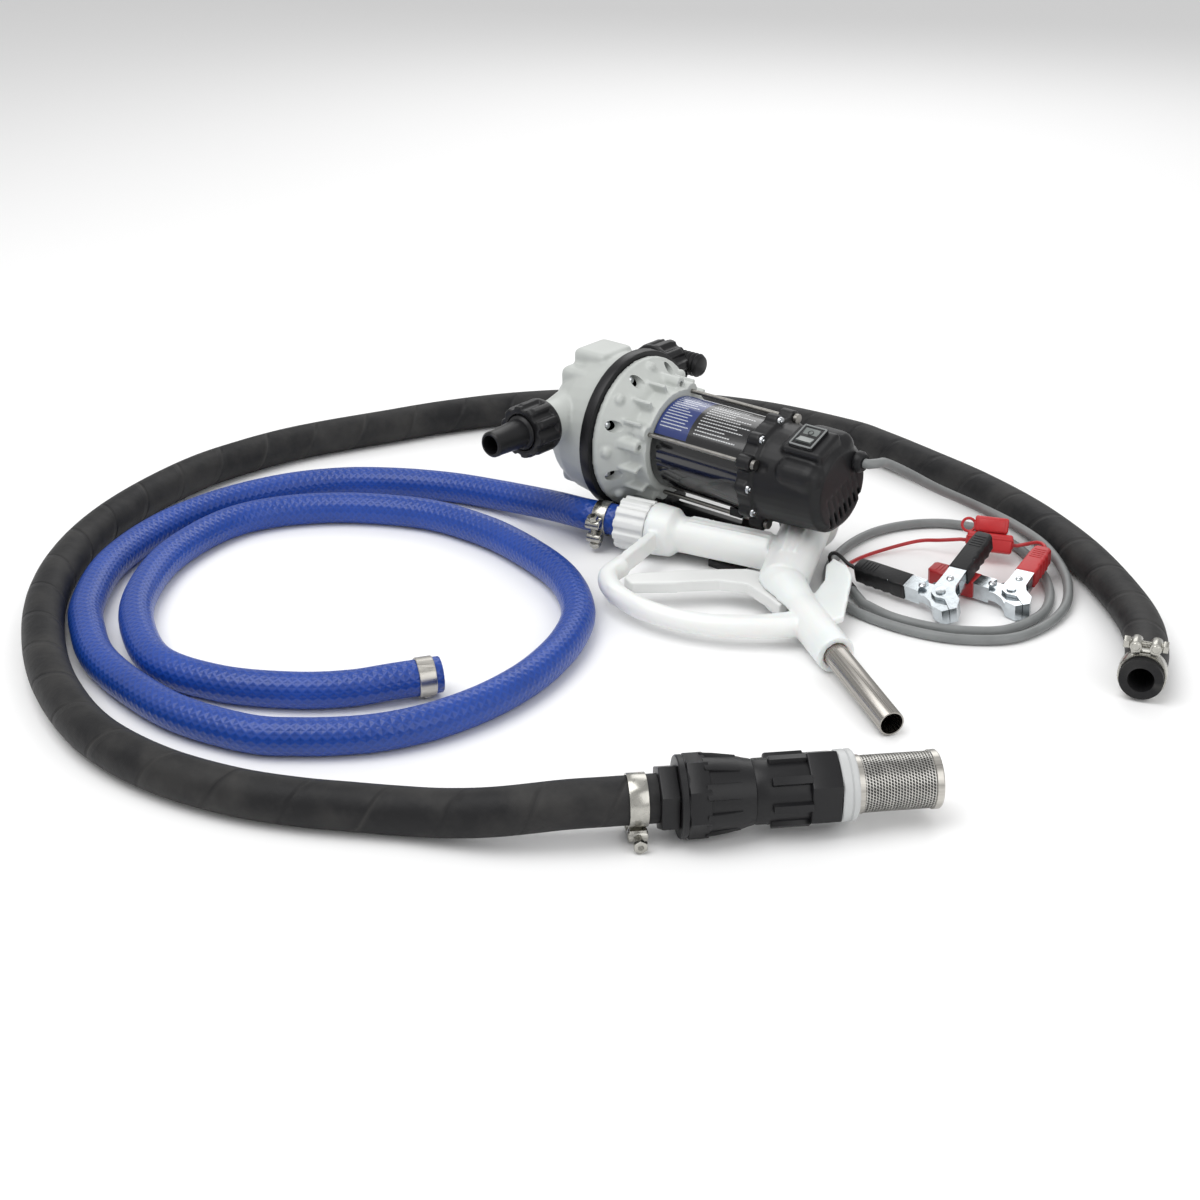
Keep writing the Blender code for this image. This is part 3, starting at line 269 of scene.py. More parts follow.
class Finish:
    """A material in the making: one Principled surface and the nodes that feed it."""

    def __init__(self, name, colour, roughness=0.5, metallic=0.0, **fixed):
        self.material = bpy.data.materials.new(name)
        self.material.use_nodes = True
        self.tree = self.material.node_tree
        self.shader = self.tree.nodes["Principled BSDF"]
        self.set("Base Color", (*colour, 1.0))
        self.set("Roughness", roughness)
        self.set("Metallic", metallic)
        for socket, value in fixed.items():
            self.set(socket.replace("_", " ").title().replace("Ior", "IOR"), value)

    def node(self, kind, settings=None, sockets=None, output=0):
        made = self.tree.nodes.new(kind)
        for key, value in (settings or {}).items():
            setattr(made, key, value)
        for key, value in (sockets or {}).items():
            self.feed(made.inputs[key], value)
        return Socket(self, made.outputs[output])

    def feed(self, socket, value):
        if isinstance(value, Socket):
            self.tree.links.new(value.socket, socket)
        else:
            socket.default_value = value

    def set(self, socket, value):
        self.feed(self.shader.inputs[socket], value)

    def place(self):
        return self.node("ShaderNodeTexCoord", output="Object")

    def parts(self, vector):
        return [self.node("ShaderNodeSeparateXYZ", None, {0: vector}, k) for k in range(3)]

    def noise(self, scale, detail=3.0, vector=None, roughness=0.5):
        return self.node("ShaderNodeTexNoise", {}, {
            "Vector": vector or self.place(), "Scale": scale, "Detail": detail,
            "Roughness": roughness})

    def mix(self, factor, first, second):
        made = self.tree.nodes.new("ShaderNodeMix")
        made.data_type = "RGBA"
        self.feed(made.inputs[0], factor)
        for index, value in ((6, first), (7, second)):
            self.feed(made.inputs[index], value if isinstance(value, Socket) else (*value, 1.0))
        return Socket(self, made.outputs[2])

    def ramp(self, value, low, high):
        return self.node("ShaderNodeMapRange", {},
                         {"Value": value, "From Min": low, "From Max": high})

    def bump(self, height, distance, strength=1.0):
        self.set("Normal", self.node("ShaderNodeBump", {}, {
            "Height": height, "Distance": distance, "Strength": strength}))

    def attribute(self, name, output):
        return self.node("ShaderNodeAttribute", {"attribute_name": name}, None, output)


def moulded(name, colour, roughness=0.42, grain=900.0, depth=0.00006, spread=0.06, **fixed):
    """Moulded plastic: a fine grain, faint flow marks and slightly uneven gloss."""
    made = Finish(name, colour, roughness, **fixed)
    flow = made.noise(28.0, 4.0)
    darker = tuple(c * (1 - spread) for c in colour)
    lighter = tuple(min(1.0, c * (1 + spread)) for c in colour)
    made.set("Base Color", made.mix(made.ramp(flow, 0.3, 0.7), darker, lighter))
    made.set("Roughness", flow * 0.16 + (roughness - 0.08))
    made.bump(made.noise(grain, 2.0), depth)
    return made.material


def brushed(name, colour, axis_frame, roughness=0.3, across=900.0, along=14.0):
    """Drawn or rolled steel with fine lines that run along the frame's local Z."""
    made = Finish(name, colour, roughness, 1.0)
    turn = axis_frame.inverted().to_euler()
    lines = made.node("ShaderNodeMapping", {}, {
        "Vector": made.place(), "Rotation": turn})
    stretched = made.node("ShaderNodeVectorMath", {"operation": "MULTIPLY"}, {
        0: lines, 1: (across, across, along)})
    streaks = made.noise(1.0, 3.0, stretched)
    made.set("Roughness", streaks * 0.25 + (roughness - 0.12))
    dull = tuple(c * 0.72 for c in colour)
    made.set("Base Color", made.mix(made.ramp(streaks, 0.3, 0.7), dull, colour))
    made.bump(streaks, 0.00002)
    return made.material


def plated(name, colour=(0.62, 0.64, 0.66), roughness=0.22):
    """Zinc plate with faint cloudy patches."""
    made = Finish(name, colour, roughness, 1.0)
    cloud = made.noise(160.0, 4.0)
    made.set("Roughness", cloud * 0.25 + (roughness - 0.1))
    made.set("Base Color", made.mix(made.ramp(cloud, 0.35, 0.7), tuple(c * 0.8 for c in colour),
                                    colour))
    made.bump(made.noise(700.0, 2.0), 0.00003)
    return made.material


def wrapped_rubber(name):
    """Black rubber hose cured in a cloth wrap: a slow spiral step, cloth print and chalky wear,
    with a painted highlight along the spiral step.
    """
    made = Finish(name, (0.02, 0.02, 0.021), 0.6, specular_ior_level=0.25)
    along = made.attribute("along", "Fac")
    ring = made.attribute("ring", "Vector")
    x, y, _ = made.parts(ring)
    angle = y.math("ARCTAN2", x)
    turns = (along / 0.052 + angle / math.tau).math("FRACT")
    step = made.ramp(turns, 0.0, 0.06) * (1 - made.ramp(turns, 0.9, 1.0))
    cloth = (along * 4200).math("SINE") * (angle * 46).math("SINE")
    blotch = made.noise(24.0, 5.0, roughness=0.6)
    chalk = made.ramp(blotch, 0.42, 0.72)
    base = made.mix(chalk, (0.010, 0.010, 0.011), (0.036, 0.035, 0.034))
    # Painted highlight: the spiral step line gets this lighter colour, standing in for light
    # catching the wrap facets.
    painted_step_highlight = made.mix(made.ramp(made.noise(9.0, 2.0), 0.4, 0.6), (0.010, 0.010, 0.011),
                    (0.034, 0.033, 0.032))
    made.set("Base Color", made.mix(made.ramp(step, 0.0, 0.6), painted_step_highlight, base))
    made.set("Roughness", blotch * 0.3 + 0.42)
    height = step * 0.0011 + cloth * 0.00004 + made.noise(90.0, 4.0) * 0.0009
    made.bump(height, 1.0, 0.8)
    return made.material


def braided_hose(name, colour):
    """A satin hose whose inner braid prints a fine diamond net through the jacket."""
    made = Finish(name, colour, 0.32)
    along = made.attribute("along", "Fac")
    ring = made.attribute("ring", "Vector")
    x, y, _ = made.parts(ring)
    angle = y.math("ARCTAN2", x)
    first = (along * 900 + angle * 12).math("SINE")
    second = (along * 900 - angle * 12).math("SINE")
    net = first.math("MAXIMUM", second)
    tone = made.noise(20.0, 3.0)
    dark = tuple(c * 0.7 for c in colour)
    shade = made.mix(made.ramp(net, 0.2, 1.0) * 0.5 + made.ramp(tone, 0.3, 0.7) * 0.5, dark,
                     colour)
    made.set("Base Color", shade)
    made.set("Roughness", tone * 0.15 + 0.26)
    made.bump(net, 0.00022, 0.8)
    return made.material


def sheath(name, colour, roughness=0.45):
    """A cable sheath with a faint lengthwise waviness, darker where it has been handled."""
    made = Finish(name, colour, roughness)
    tone = made.noise(45.0, 4.0)
    made.set("Base Color", made.mix(made.ramp(tone, 0.35, 0.75), tuple(c * 0.78 for c in colour),
                                    colour))
    made.set("Roughness", tone * 0.2 + (roughness - 0.1))
    made.bump(made.noise(260.0, 3.0), 0.00015)
    return made.material


def label(name, ground, ink, low, high, rows, seed):
    """A printed sticker wrapped on the can: rows of plain bars of uneven length."""
    made = Finish(name, ground, 0.18, coat_weight=0.3)
    x, y, z = made.parts(made.place())
    angle = (z - AXIS_H * MM).math("ARCTAN2", y)
    down = made.ramp(angle, math.radians(LABEL_TO), math.radians(LABEL_FROM))
    run = made.ramp(x, low * MM, high * MM)
    row = (down * rows).math("FLOOR")
    within = (down * rows).math("FRACT")
    reach = made.node("ShaderNodeTexWhiteNoise", {"noise_dimensions": "1D"}, {"W": row + seed})
    words = (run * 22 + reach * 9).math("FRACT")
    bars = (within > 0.38) * (within < 0.68) * (run < reach * 0.4 + 0.55) * (run > 0.08)
    inside = (down > 0.12) * (down < 0.9)
    made.set("Base Color", made.mix(bars * (words < 0.75) * inside, ground, ink))
    return made.material


# ---------------------------------------------------------------- shapes
def finished(name, bm, finish, body=KIT, replaces=(), smooth=CRISP, recalc=True):
    """The bmesh, already in its place, as a piece that rides on a body."""
    if recalc:
        bmesh.ops.recalc_face_normals(bm, faces=bm.faces)
    mesh = bpy.data.meshes.new(name)
    bm.to_mesh(mesh)
    bm.free()
    mesh.shade_smooth()
    mesh.set_sharp_from_angle(angle=math.radians(smooth))
    return piece(name, mesh, finish, body, replaces)


def piece(name, data, finish, body=KIT, replaces=()):
    obj = bpy.data.objects.new(name, data)
    bpy.context.scene.collection.objects.link(obj)
    if finish:
        data.materials.clear()
        data.materials.append(finish)
    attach(obj, body)
    if replaces:
        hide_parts(*replaces)
    return obj


def add_lathe(bm, profile, place, steps=64):
    """A turned shape about the frame's Z. The profile is (radius, z) in mm; a profile that
    starts off the axis closes into a ring."""
    verts = [bm.verts.new((r * MM, 0, z * MM)) for r, z in profile]
    edges = [bm.edges.new(pair) for pair in zip(verts, verts[1:])]
    if profile[0][0] > 0:
        edges.append(bm.edges.new((verts[-1], verts[0])))
    bmesh.ops.spin(bm, geom=[*verts, *edges], cent=(0, 0, 0), axis=(0, 0, 1),
                   angle=math.tau, steps=steps, use_merge=True, use_duplicate=False)
    faces = {face for vert in verts for face in vert.link_faces}
    reach = set(faces)
    while faces:
        faces = {near for face in faces for edge in face.edges for near in edge.link_faces} - reach
        reach |= faces
    own = list({vert for face in reach for vert in face.verts})
    bmesh.ops.remove_doubles(bm, verts=own, dist=WELD)
    own = [vert for vert in own if vert.is_valid]
    bmesh.ops.transform(bm, matrix=place, verts=own)


def lathe(name, profile, finish, place, body=KIT, replaces=(), steps=64, smooth=CRISP):
    bm = bmesh.new()
    add_lathe(bm, profile, place, steps)
    return finished(name, bm, finish, body, replaces, smooth)


def round_bar(radius, low, high, edge=0.6):
    """The profile of a solid bar with rounded end edges."""
    return ((0, high), (radius - edge, high), (radius, high - edge), (radius, low + edge),
            (radius - edge, low), (0, low))


def add_block(bm, low, high, place, bevel=1.0, segments=3):
    made = bmesh.ops.create_cube(bm, size=1.0)
    verts = made["verts"]
    size = (Vector(high) - Vector(low)) * MM
    bmesh.ops.scale(bm, vec=size, verts=verts)
    bmesh.ops.translate(bm, vec=(Vector(high) + Vector(low)) * MM / 2, verts=verts)
    if bevel:
        edges = list({edge for vert in verts for edge in vert.link_edges})
        made = bmesh.ops.bevel(bm, geom=edges, offset=bevel * MM, segments=segments, profile=0.5,
                               affect="EDGES", material=-1)
        verts = list({vert for face in made["faces"] for vert in face.verts}
                     | {vert for vert in verts if vert.is_valid})
    bmesh.ops.transform(bm, matrix=place, verts=verts)


def add_slab(bm, outline, low, high, place, bevel=0.8, segments=3):
    """A flat outline in mm, thickened from low to high and rounded on its edges."""
    verts = [bm.verts.new((x * MM, y * MM, low * MM)) for x, y in outline]
    face = bm.faces.new(verts)
    made = bmesh.ops.extrude_face_region(bm, geom=[face])
    raised = [item for item in made["geom"] if isinstance(item, bmesh.types.BMVert)]
    bmesh.ops.translate(bm, vec=(0, 0, (high - low) * MM), verts=raised)
    verts += raised
    if bevel:
        rims = {edge for vert in verts for edge in vert.link_edges
                if abs(edge.verts[0].co.z - edge.verts[1].co.z) < 1e-7}
        made = bmesh.ops.bevel(bm, geom=list(rims), offset=bevel * MM, segments=segments,
                               profile=0.5, affect="EDGES", material=-1, clamp_overlap=True)
        verts = list({vert for face in made["faces"] for vert in face.verts}
                     | {vert for vert in verts if vert.is_valid})
    bmesh.ops.transform(bm, matrix=place, verts=verts)


def add_ball(bm, radii, place):
    made = bmesh.ops.create_uvsphere(bm, u_segments=24, v_segments=12, radius=MM)
    bmesh.ops.scale(bm, vec=radii, verts=made["verts"])
    bmesh.ops.transform(bm, matrix=place, verts=made["verts"])


def add_tube(bm, points, radius, sides=16, bore=0.0):
    """A round tube along the points, with its running length and its ring kept as attributes.
    With a bore, its last end is open."""
    path = [Vector(p) * MM for p in points]
    along = bm.verts.layers.float.get("along") or bm.verts.layers.float.new("along")
    ring_layer = (bm.verts.layers.float_vector.get("ring")
                  or bm.verts.layers.float_vector.new("ring"))
    heading = (path[1] - path[0]).normalized()
    side = heading.orthogonal().normalized()
    first = Matrix((side, heading.cross(side), heading)).transposed().to_4x4()
    made = bmesh.ops.create_circle(bm, cap_ends=False, radius=radius * MM, segments=sides)
    ring = made["verts"]
    for vert in ring:
        vert[ring_layer] = (vert.co.x / (radius * MM), vert.co.y / (radius * MM), 0)
    last = Matrix.Translation(path[0]) @ first
    bmesh.ops.transform(bm, matrix=last, verts=ring)
    edges = list({edge for vert in ring for edge in vert.link_edges})
    bmesh.ops.holes_fill(bm, edges=edges, sides=0)
    run = 0.0
    for k in range(1, len(path)):
        after = path[min(k + 1, len(path) - 1)] - path[k - 1]
        new_heading = after.normalized()
        side = (side - new_heading * side.dot(new_heading)).normalized()
        turn = Matrix((side, new_heading.cross(side), new_heading)).transposed().to_4x4()
        place = Matrix.Translation(path[k]) @ turn
        made = bmesh.ops.extrude_edge_only(bm, edges=edges)
        ring = [item for item in made["geom"] if isinstance(item, bmesh.types.BMVert)]
        edges = [item for item in made["geom"] if isinstance(item, bmesh.types.BMEdge)]
        edges = [edge for edge in edges if len(edge.link_faces) == 1]
        bmesh.ops.transform(bm, matrix=place @ last.inverted(), verts=ring)
        run += (path[k] - path[k - 1]).length
        for vert in ring:
            vert[along] = run
        last = place
    if bore:
        for share, depth in ((0.97, 0.4), (bore / radius / 0.97, 0.0), (1.0, -40.0)):
            made = bmesh.ops.extrude_edge_only(bm, edges=edges)
            ring = [item for item in made["geom"] if isinstance(item, bmesh.types.BMVert)]
            edges = [item for item in made["geom"] if isinstance(item, bmesh.types.BMEdge)]
            edges = [edge for edge in edges if len(edge.link_faces) == 1]
            move = (last @ Matrix.Translation((0, 0, depth * MM))
                    @ Matrix.Diagonal((share, share, 1, 1)) @ last.inverted())
            bmesh.ops.transform(bm, matrix=move, verts=ring)
    bmesh.ops.holes_fill(bm, edges=edges, sides=0)


def tube(name, points, radius, finish, body=KIT, replaces=(), sides=16, bore=0.0):
    bm = bmesh.new()
    add_tube(bm, points, radius, sides, bore)
    return finished(name, bm, finish, body, replaces, 50.0)


def node_mesh(bm, node):
    """Adds a copy of a CAD node's mesh, with its loose triangles merged."""
    source = bmesh.new()
    source.from_mesh(frame["nodes"][node].data)
    bmesh.ops.remove_doubles(source, verts=source.verts, dist=WELD)
    mesh = bpy.data.meshes.new("copy")
    source.to_mesh(mesh)
    source.free()
    bm.from_mesh(mesh)
    bpy.data.meshes.remove(mesh)


def applied(obj):
    """Replaces the object's mesh by what its modifiers make of it."""
    bpy.context.view_layer.update()
    shaped = obj.evaluated_get(bpy.context.evaluated_depsgraph_get())
    mesh = bpy.data.meshes.new_from_object(shaped)
    obj.modifiers.clear()
    obj.data = mesh


def softened(name, nodes, finish, voxel=1.2, rounds=6, extras=None, body=KIT, carve=None):
    """A CAD node fused with its extra detail and given the soft edges of a moulding."""
    bm = bmesh.new()
    for node in nodes:
        node_mesh(bm, node)
    if extras:
        extras(bm)
    mesh = bpy.data.meshes.new(name)
    bm.to_mesh(mesh)
    bm.free()
    obj = bpy.data.objects.new(name, mesh)
    bpy.context.scene.collection.objects.link(obj)
    fuse = obj.modifiers.new("Fuse", "REMESH")
    fuse.mode = "VOXEL"
    fuse.voxel_size = voxel * MM
    fuse.use_smooth_shade = True
    relax = obj.modifiers.new("Relax", "SMOOTH")
    relax.factor = 0.5
    relax.iterations = rounds
    applied(obj)
    if carve:
        cutter_mesh = bpy.data.meshes.new("cutter")
        bm = bmesh.new()
        carve(bm)
        bmesh.ops.recalc_face_normals(bm, faces=bm.faces)
        bm.to_mesh(cutter_mesh)
        bm.free()
        cutter = bpy.data.objects.new("cutter", cutter_mesh)
        bpy.context.scene.collection.objects.link(cutter)
        cut = obj.modifiers.new("Cut", "BOOLEAN")
        cut.object = cutter
        cut.solver = "EXACT"
        applied(obj)
        bpy.data.objects.remove(cutter)
    data = obj.data
    bpy.data.objects.remove(obj)
    data.shade_smooth()
    data.set_sharp_from_angle(angle=math.radians(40))
    return piece(name, data, finish, body, nodes)


def dress(node, finish):
    """Gives a CAD node its finish, with its round faces shaded round."""
    obj = frame["nodes"][node]
    obj.data.materials.clear()
    obj.data.materials.append(finish)
    obj.data.polygons.foreach_set("use_smooth", [True] * len(obj.data.polygons))
    weld = obj.modifiers.new("Weld", "WELD")
    weld.merge_threshold = WELD
    split = obj.modifiers.new("Edges", "EDGE_SPLIT")
    split.split_angle = math.radians(CRISP)


def arc(radius, start, end, steps):
    angles = [start + (end - start) * k / steps for k in range(steps + 1)]
    return [(radius * math.cos(a), radius * math.sin(a)) for a in angles]


def clocked(radius, degrees, z=0.0):
    """A place on a circle round the motor axis, at an angle from +Y towards +Z."""
    a = math.radians(degrees)
    return shifted(PUMP, radius * math.cos(a), radius * math.sin(a), z)


ROD_ANGLES = [math.degrees(CLOCK) + 45 + 90 * k for k in range(4)]


# ---------------------------------------------------------------- sizes and colours
class PUMPKIT_PG_colours(bpy.types.PropertyGroup):
    head: bpy.props.FloatVectorProperty(
        name="Head", description="Colour of the pump head and drive housing", subtype="COLOR",
        default=(0.47, 0.49, 0.47))
    plastic: bpy.props.FloatVectorProperty(
        name="Black plastic", description="Colour of the end cap, base and fittings",
        subtype="COLOR", default=(0.009, 0.009, 0.010))
    hose: bpy.props.FloatVectorProperty(
        name="Delivery hose", description="Colour of the delivery hose", subtype="COLOR",
        default=(0.007, 0.055, 0.34))
    nozzle: bpy.props.FloatVectorProperty(
        name="Nozzle", description="Colour of the nozzle mouldings", subtype="COLOR",
        default=(0.80, 0.81, 0.80))
    cable: bpy.props.FloatVectorProperty(
        name="Cable", description="Colour of the cable sheath", subtype="COLOR",
        default=(0.22, 0.23, 0.23))
    red: bpy.props.FloatVectorProperty(
        name="Red", description="Colour of the red clip, core and fuse holder", subtype="COLOR",
        default=(0.48, 0.018, 0.022))


class PUMPKIT_PG_sizes(bpy.types.PropertyGroup):
    suction_radius: bpy.props.FloatProperty(
        name="Suction hose radius", description="Outer radius of the suction hose",
        default=0.016, min=0.005, unit="LENGTH")
    delivery_radius: bpy.props.FloatProperty(
        name="Delivery hose radius", description="Outer radius of the delivery hose",
        default=0.0135, min=0.005, unit="LENGTH")
    cable_radius: bpy.props.FloatProperty(
        name="Cable radius", description="Outer radius of the two-core cable",
        default=0.004, min=0.001, unit="LENGTH")
    core_radius: bpy.props.FloatProperty(
        name="Core radius", description="Outer radius of the red and black cores",
        default=0.0016, min=0.0005, unit="LENGTH")
    key_light: bpy.props.FloatProperty(
        name="Key light", description="Power of the large soft light above the table",
        default=25.0, min=0.0, unit="POWER")


FINISHES = {}


def finish(name):
    return FINISHES[name]


def make_finishes(colours):
    grey = tuple(colours.head)
    black = tuple(colours.plastic)
    white = tuple(colours.nozzle)
    red = tuple(colours.red)
    FINISHES.update({
        "head": moulded("Grey head moulding", grey, 0.42, 700.0, 0.00007, 0.05),
        "black": moulded("Black moulding", black, 0.40, 1100.0, 0.00008, 0.25,
                         specular_ior_level=0.3),
        "ring": moulded("Black clamping ring", (0.008, 0.008, 0.009), 0.36, 800.0, 0.00004, 0.2,
                        specular_ior_level=0.3),
        "fitting": moulded("Black fitting", (0.009, 0.009, 0.010), 0.38, 500.0, 0.00005, 0.2,
                           specular_ior_level=0.3),
        "can": moulded("Gloss black can", (0.006, 0.006, 0.007), 0.14, 90.0, 0.00004, 0.1,
                       coat_weight=0.6),
        "white": moulded("White nozzle moulding", white, 0.34, 500.0, 0.00004, 0.02,
                         subsurface_weight=0.12),
        "lever": moulded("White lever moulding", tuple(c * 0.93 for c in white), 0.38, 500.0,
                         0.00004, 0.02),
        "cap": moulded("White cap moulding", tuple(c * 0.9 for c in white), 0.36, 500.0, 0.00005,
                       0.03),
        "seal": moulded("Seal ring", (0.50, 0.51, 0.51), 0.4, 500.0, 0.00004, 0.03),
        "red": moulded("Red moulding", red, 0.38, 600.0, 0.00006, 0.1),
        "red_grip": moulded("Red clip grip", tuple(c * 0.85 for c in red), 0.42, 500.0, 0.0001,
                            0.15),
        "black_grip": moulded("Black clip grip", (0.009, 0.009, 0.010), 0.42, 500.0, 0.0001, 0.25,
                              specular_ior_level=0.3),
        "rocker": moulded("Grey rocker", (0.15, 0.165, 0.16), 0.28, 300.0, 0.00002, 0.05,
                          coat_weight=0.15),
        "rim": moulded("Switch rim", (0.22, 0.23, 0.23), 0.3, 300.0, 0.00002, 0.05),
        "mark": moulded("Switch mark", (0.02, 0.02, 0.02), 0.4, 300.0, 0.00002, 0.05),
        "suction": wrapped_rubber("Wrapped black rubber"),
        "delivery": braided_hose("Braided blue hose", tuple(colours.hose)),
        "cable": sheath("Grey cable sheath", tuple(colours.cable)),
        "core_red": sheath("Red core", red, 0.35),
        "core_black": sheath("Black core", (0.01, 0.01, 0.011), 0.35),
        "plate": plated("Zinc plate"),
        "clip_steel": plated("Bright clip steel", (0.66, 0.71, 0.74), 0.20),
        "stainless": brushed("Rolled stainless", (0.56, 0.54, 0.50), STRAINER, 0.3, 500.0, 30.0),
        "clamp": plated("Clamp steel", (0.50, 0.49, 0.45), 0.24),
        "spout": brushed("Drawn steel spout", (0.42, 0.40, 0.37), HOLDER, 0.28, 1400.0, 9.0),
        "basket": plated("Perforated stainless", (0.60, 0.59, 0.56), 0.30),
        "liner": plated("Fine mesh liner", (0.10, 0.10, 0.095), 0.5),
        "rod": plated("Tie rod steel", (0.30, 0.29, 0.27), 0.32),
        "dark_steel": plated("Laminated steel", (0.2, 0.2, 0.21), 0.4),
        "copper": plated("Turned copper", (0.72, 0.36, 0.18), 0.25),
        "carbon": moulded("Brush carbon", (0.03, 0.03, 0.03), 0.65, 900.0, 0.00004, 0.2),
        "label_blue": label("Blue sticker", (0.018, 0.034, 0.15), (0.55, 0.58, 0.62), -47,
                            STICKER_SPLIT, 18, 3.0),
        "label_black": label("Black sticker", (0.008, 0.008, 0.009), (0.55, 0.56, 0.57),
                             STICKER_SPLIT, 42, 17, 8.0),
    })


# ---------------------------------------------------------------- operators
class PumpOperator:
    bl_options = {"REGISTER"}

    @property
    def colours(self):
        return bpy.context.scene.pumpkit_colours

    @property
    def sizes(self):
        return bpy.context.scene.pumpkit_sizes


class PUMPKIT_OT_stage(PumpOperator, bpy.types.Operator):
    """Sets the camera, the pale floor and the soft lights"""
    bl_idname = "pumpkit.stage"
    bl_label = "Stage"

    def execute(self, context):
        scene = context.scene
        camera = bpy.data.objects.new("Camera", bpy.data.cameras.new("Camera"))
        camera.data.lens = 54.6
        camera.data.sensor_width = 36.0
        camera.data.clip_end = 20.0
        camera.location = (0.8333, -1.1666, 0.649)
        camera.rotation_euler = (math.radians(90 - 26.06), 0, math.radians(39.7))
        scene.collection.objects.link(camera)
        scene.camera = camera
        bm = bmesh.new()
        bmesh.ops.create_grid(bm, x_segments=1, y_segments=1, size=12.0)
        mesh = bpy.data.meshes.new("Floor")
        bm.to_mesh(mesh)
        bm.free()
        floor = bpy.data.objects.new("Floor", mesh)
        mesh.materials.append(Finish("Pale floor", (0.93, 0.93, 0.93), 0.7).material)
        scene.collection.objects.link(floor)
        world = bpy.data.worlds.new("Studio")
        world.use_nodes = True
        world.node_tree.nodes["Background"].inputs[0].default_value = (1, 1, 1, 1)
        world.node_tree.nodes["Background"].inputs[1].default_value = 0.62
        scene.world = world
        for name, place, aim, size, power in (
            ("Key", (-0.3, -0.9, 1.9), (0, -0.15, 0), 1.6, self.sizes.key_light),
            ("Fill", (1.7, -0.4, 1.0), (0, -0.1, 0), 1.4, self.sizes.key_light * 0.35),
            ("Back", (-0.9, 1.6, 1.5), (0, 0, 0), 1.5, self.sizes.key_light * 0.5),
        ):
            light = bpy.data.lights.new(name, "AREA")
            light.shape = "SQUARE"
            light.size = size
            light.energy = power
            lamp = bpy.data.objects.new(name, light)
            lamp.location = place
            lamp.rotation_euler = (Vector(aim) - Vector(place)).to_track_quat("-Z", "Y").to_euler()
            scene.collection.objects.link(lamp)
        scene.view_settings.view_transform = "Standard"
        return {"FINISHED"}


class PUMPKIT_OT_hoses(PumpOperator, bpy.types.Operator):
    """Lays the suction hose and the delivery hose on the floor"""
    bl_idname = "pumpkit.hoses"
    bl_label = "Hoses"

    def hose(self, name, node, route, radius, coat, stiffness):
        points = [route[0], *smooth_route(route[1:], 6)]
        made = tube(name, points, radius / MM, coat, replaces=[node], sides=32, bore=HOSE_BORE)
        metres(points[0])
        radius * 2
        [metres(p) for p in points]

    def execute(self, context):
        make_finishes(self.colours)
        self.hose("Suction_hose", "suction_hose", SUCTION, self.sizes.suction_radius,
                  finish("suction"), "stiff")
        self.hose("Delivery_hose", "delivery_hose", DELIVERY, self.sizes.delivery_radius,
                  finish("delivery"), "medium")
        return {"FINISHED"}


class PUMPKIT_OT_leads(PumpOperator, bpy.types.Operator):
    """Lays the two-core cable, its split sleeve and the three thin leads"""
    bl_idname = "pumpkit.leads"
    bl_label = "Cable and leads"

    def lead(self, name, node, points, radius, coat, with_pieces, far_end, spacing=3.0):
        points = [points[0], *smooth_route(points[1:-1], spacing), points[-1]]
        made = tube(name, points, radius, coat, replaces=[node], sides=16)
        metres(points[0])
        [metres(p) for p in points]
        return made

    def execute(self, context):
        nodes = frame["nodes"]
        start = GAP * 2 + SPLIT_LEN
        sleeve = lathe("Cable_split_sleeve", round_bar(4.4, GAP, GAP + SPLIT_LEN, 0.8),
                       finish("core_black"), SPLIT, replaces=["cable_split"], steps=32)
        self.lead("Power_cable", "power_cable", CABLE, self.sizes.cable_radius / MM,
                  finish("cable"), [sleeve], "connector", 4.0)
        core = self.sizes.core_radius / MM
        red = [point_on(SPLIT, y=-CORE_APART, z=start),
               point_on(SPLIT, y=-CORE_APART, z=start + 3),
               *RED_CORE_ROUTE, point_on(FUSE, x=-24), point_on(FUSE, x=-19.3)]
        self.lead("Red_core", "red_core", red, core, finish("core_red"),
                  [nodes["fuse_body"]], "fitting")
        fused = [point_on(FUSE, x=19.3), point_on(FUSE, x=23), *FUSED_LEAD_ROUTE,
                 handle_end("red", True, 5), handle_end("red", True, 0.6)]
        self.lead("Fused_lead", "fused_lead", fused, core, finish("core_red"),
                  [nodes["clip_red_upper"]], "tool")
        black = [point_on(SPLIT, y=CORE_APART, z=start),
                 point_on(SPLIT, y=CORE_APART, z=start + 3),
                 *BLACK_CORE_ROUTE, handle_end("black", False, 6), handle_end("black", False, 0.6)]
        self.lead("Black_core", "black_core", black, core, finish("core_black"),
                  [nodes["clip_black_lower"]], "tool")
        return {"FINISHED"}


class PUMPKIT_OT_plain_nodes(PumpOperator, bpy.types.Operator):
    """Gives the pieces whose shape needs nothing more their finish"""
    bl_idname = "pumpkit.plain_nodes"
    bl_label = "Inner pieces"

    def execute(self, context):
        coats = {
            "armature_core": "dark_steel", "armature_shaft": "plate", "brush_lower": "carbon",
            "brush_plate": "carbon", "brush_upper": "carbon", "commutator": "copper",
            "front_bearing": "plate", "rear_bearing": "plate", "wobble_bearing": "plate",
            "wobble_hub": "plate", "wobble_plate": "head", "magnet_lower": "dark_steel",
            "magnet_upper": "dark_steel", "valve_plate": "black", "valve_stem": "plate",
            "foot_valve_poppet": "white", "tie_rod_1": "rod", "tie_rod_2": "rod",
            "tie_rod_3": "rod", "tie_rod_4": "rod", "cable_gland": "fitting",
        }
        for node, coat in coats.items():
            dress(node, finish(coat))
        return {"FINISHED"}


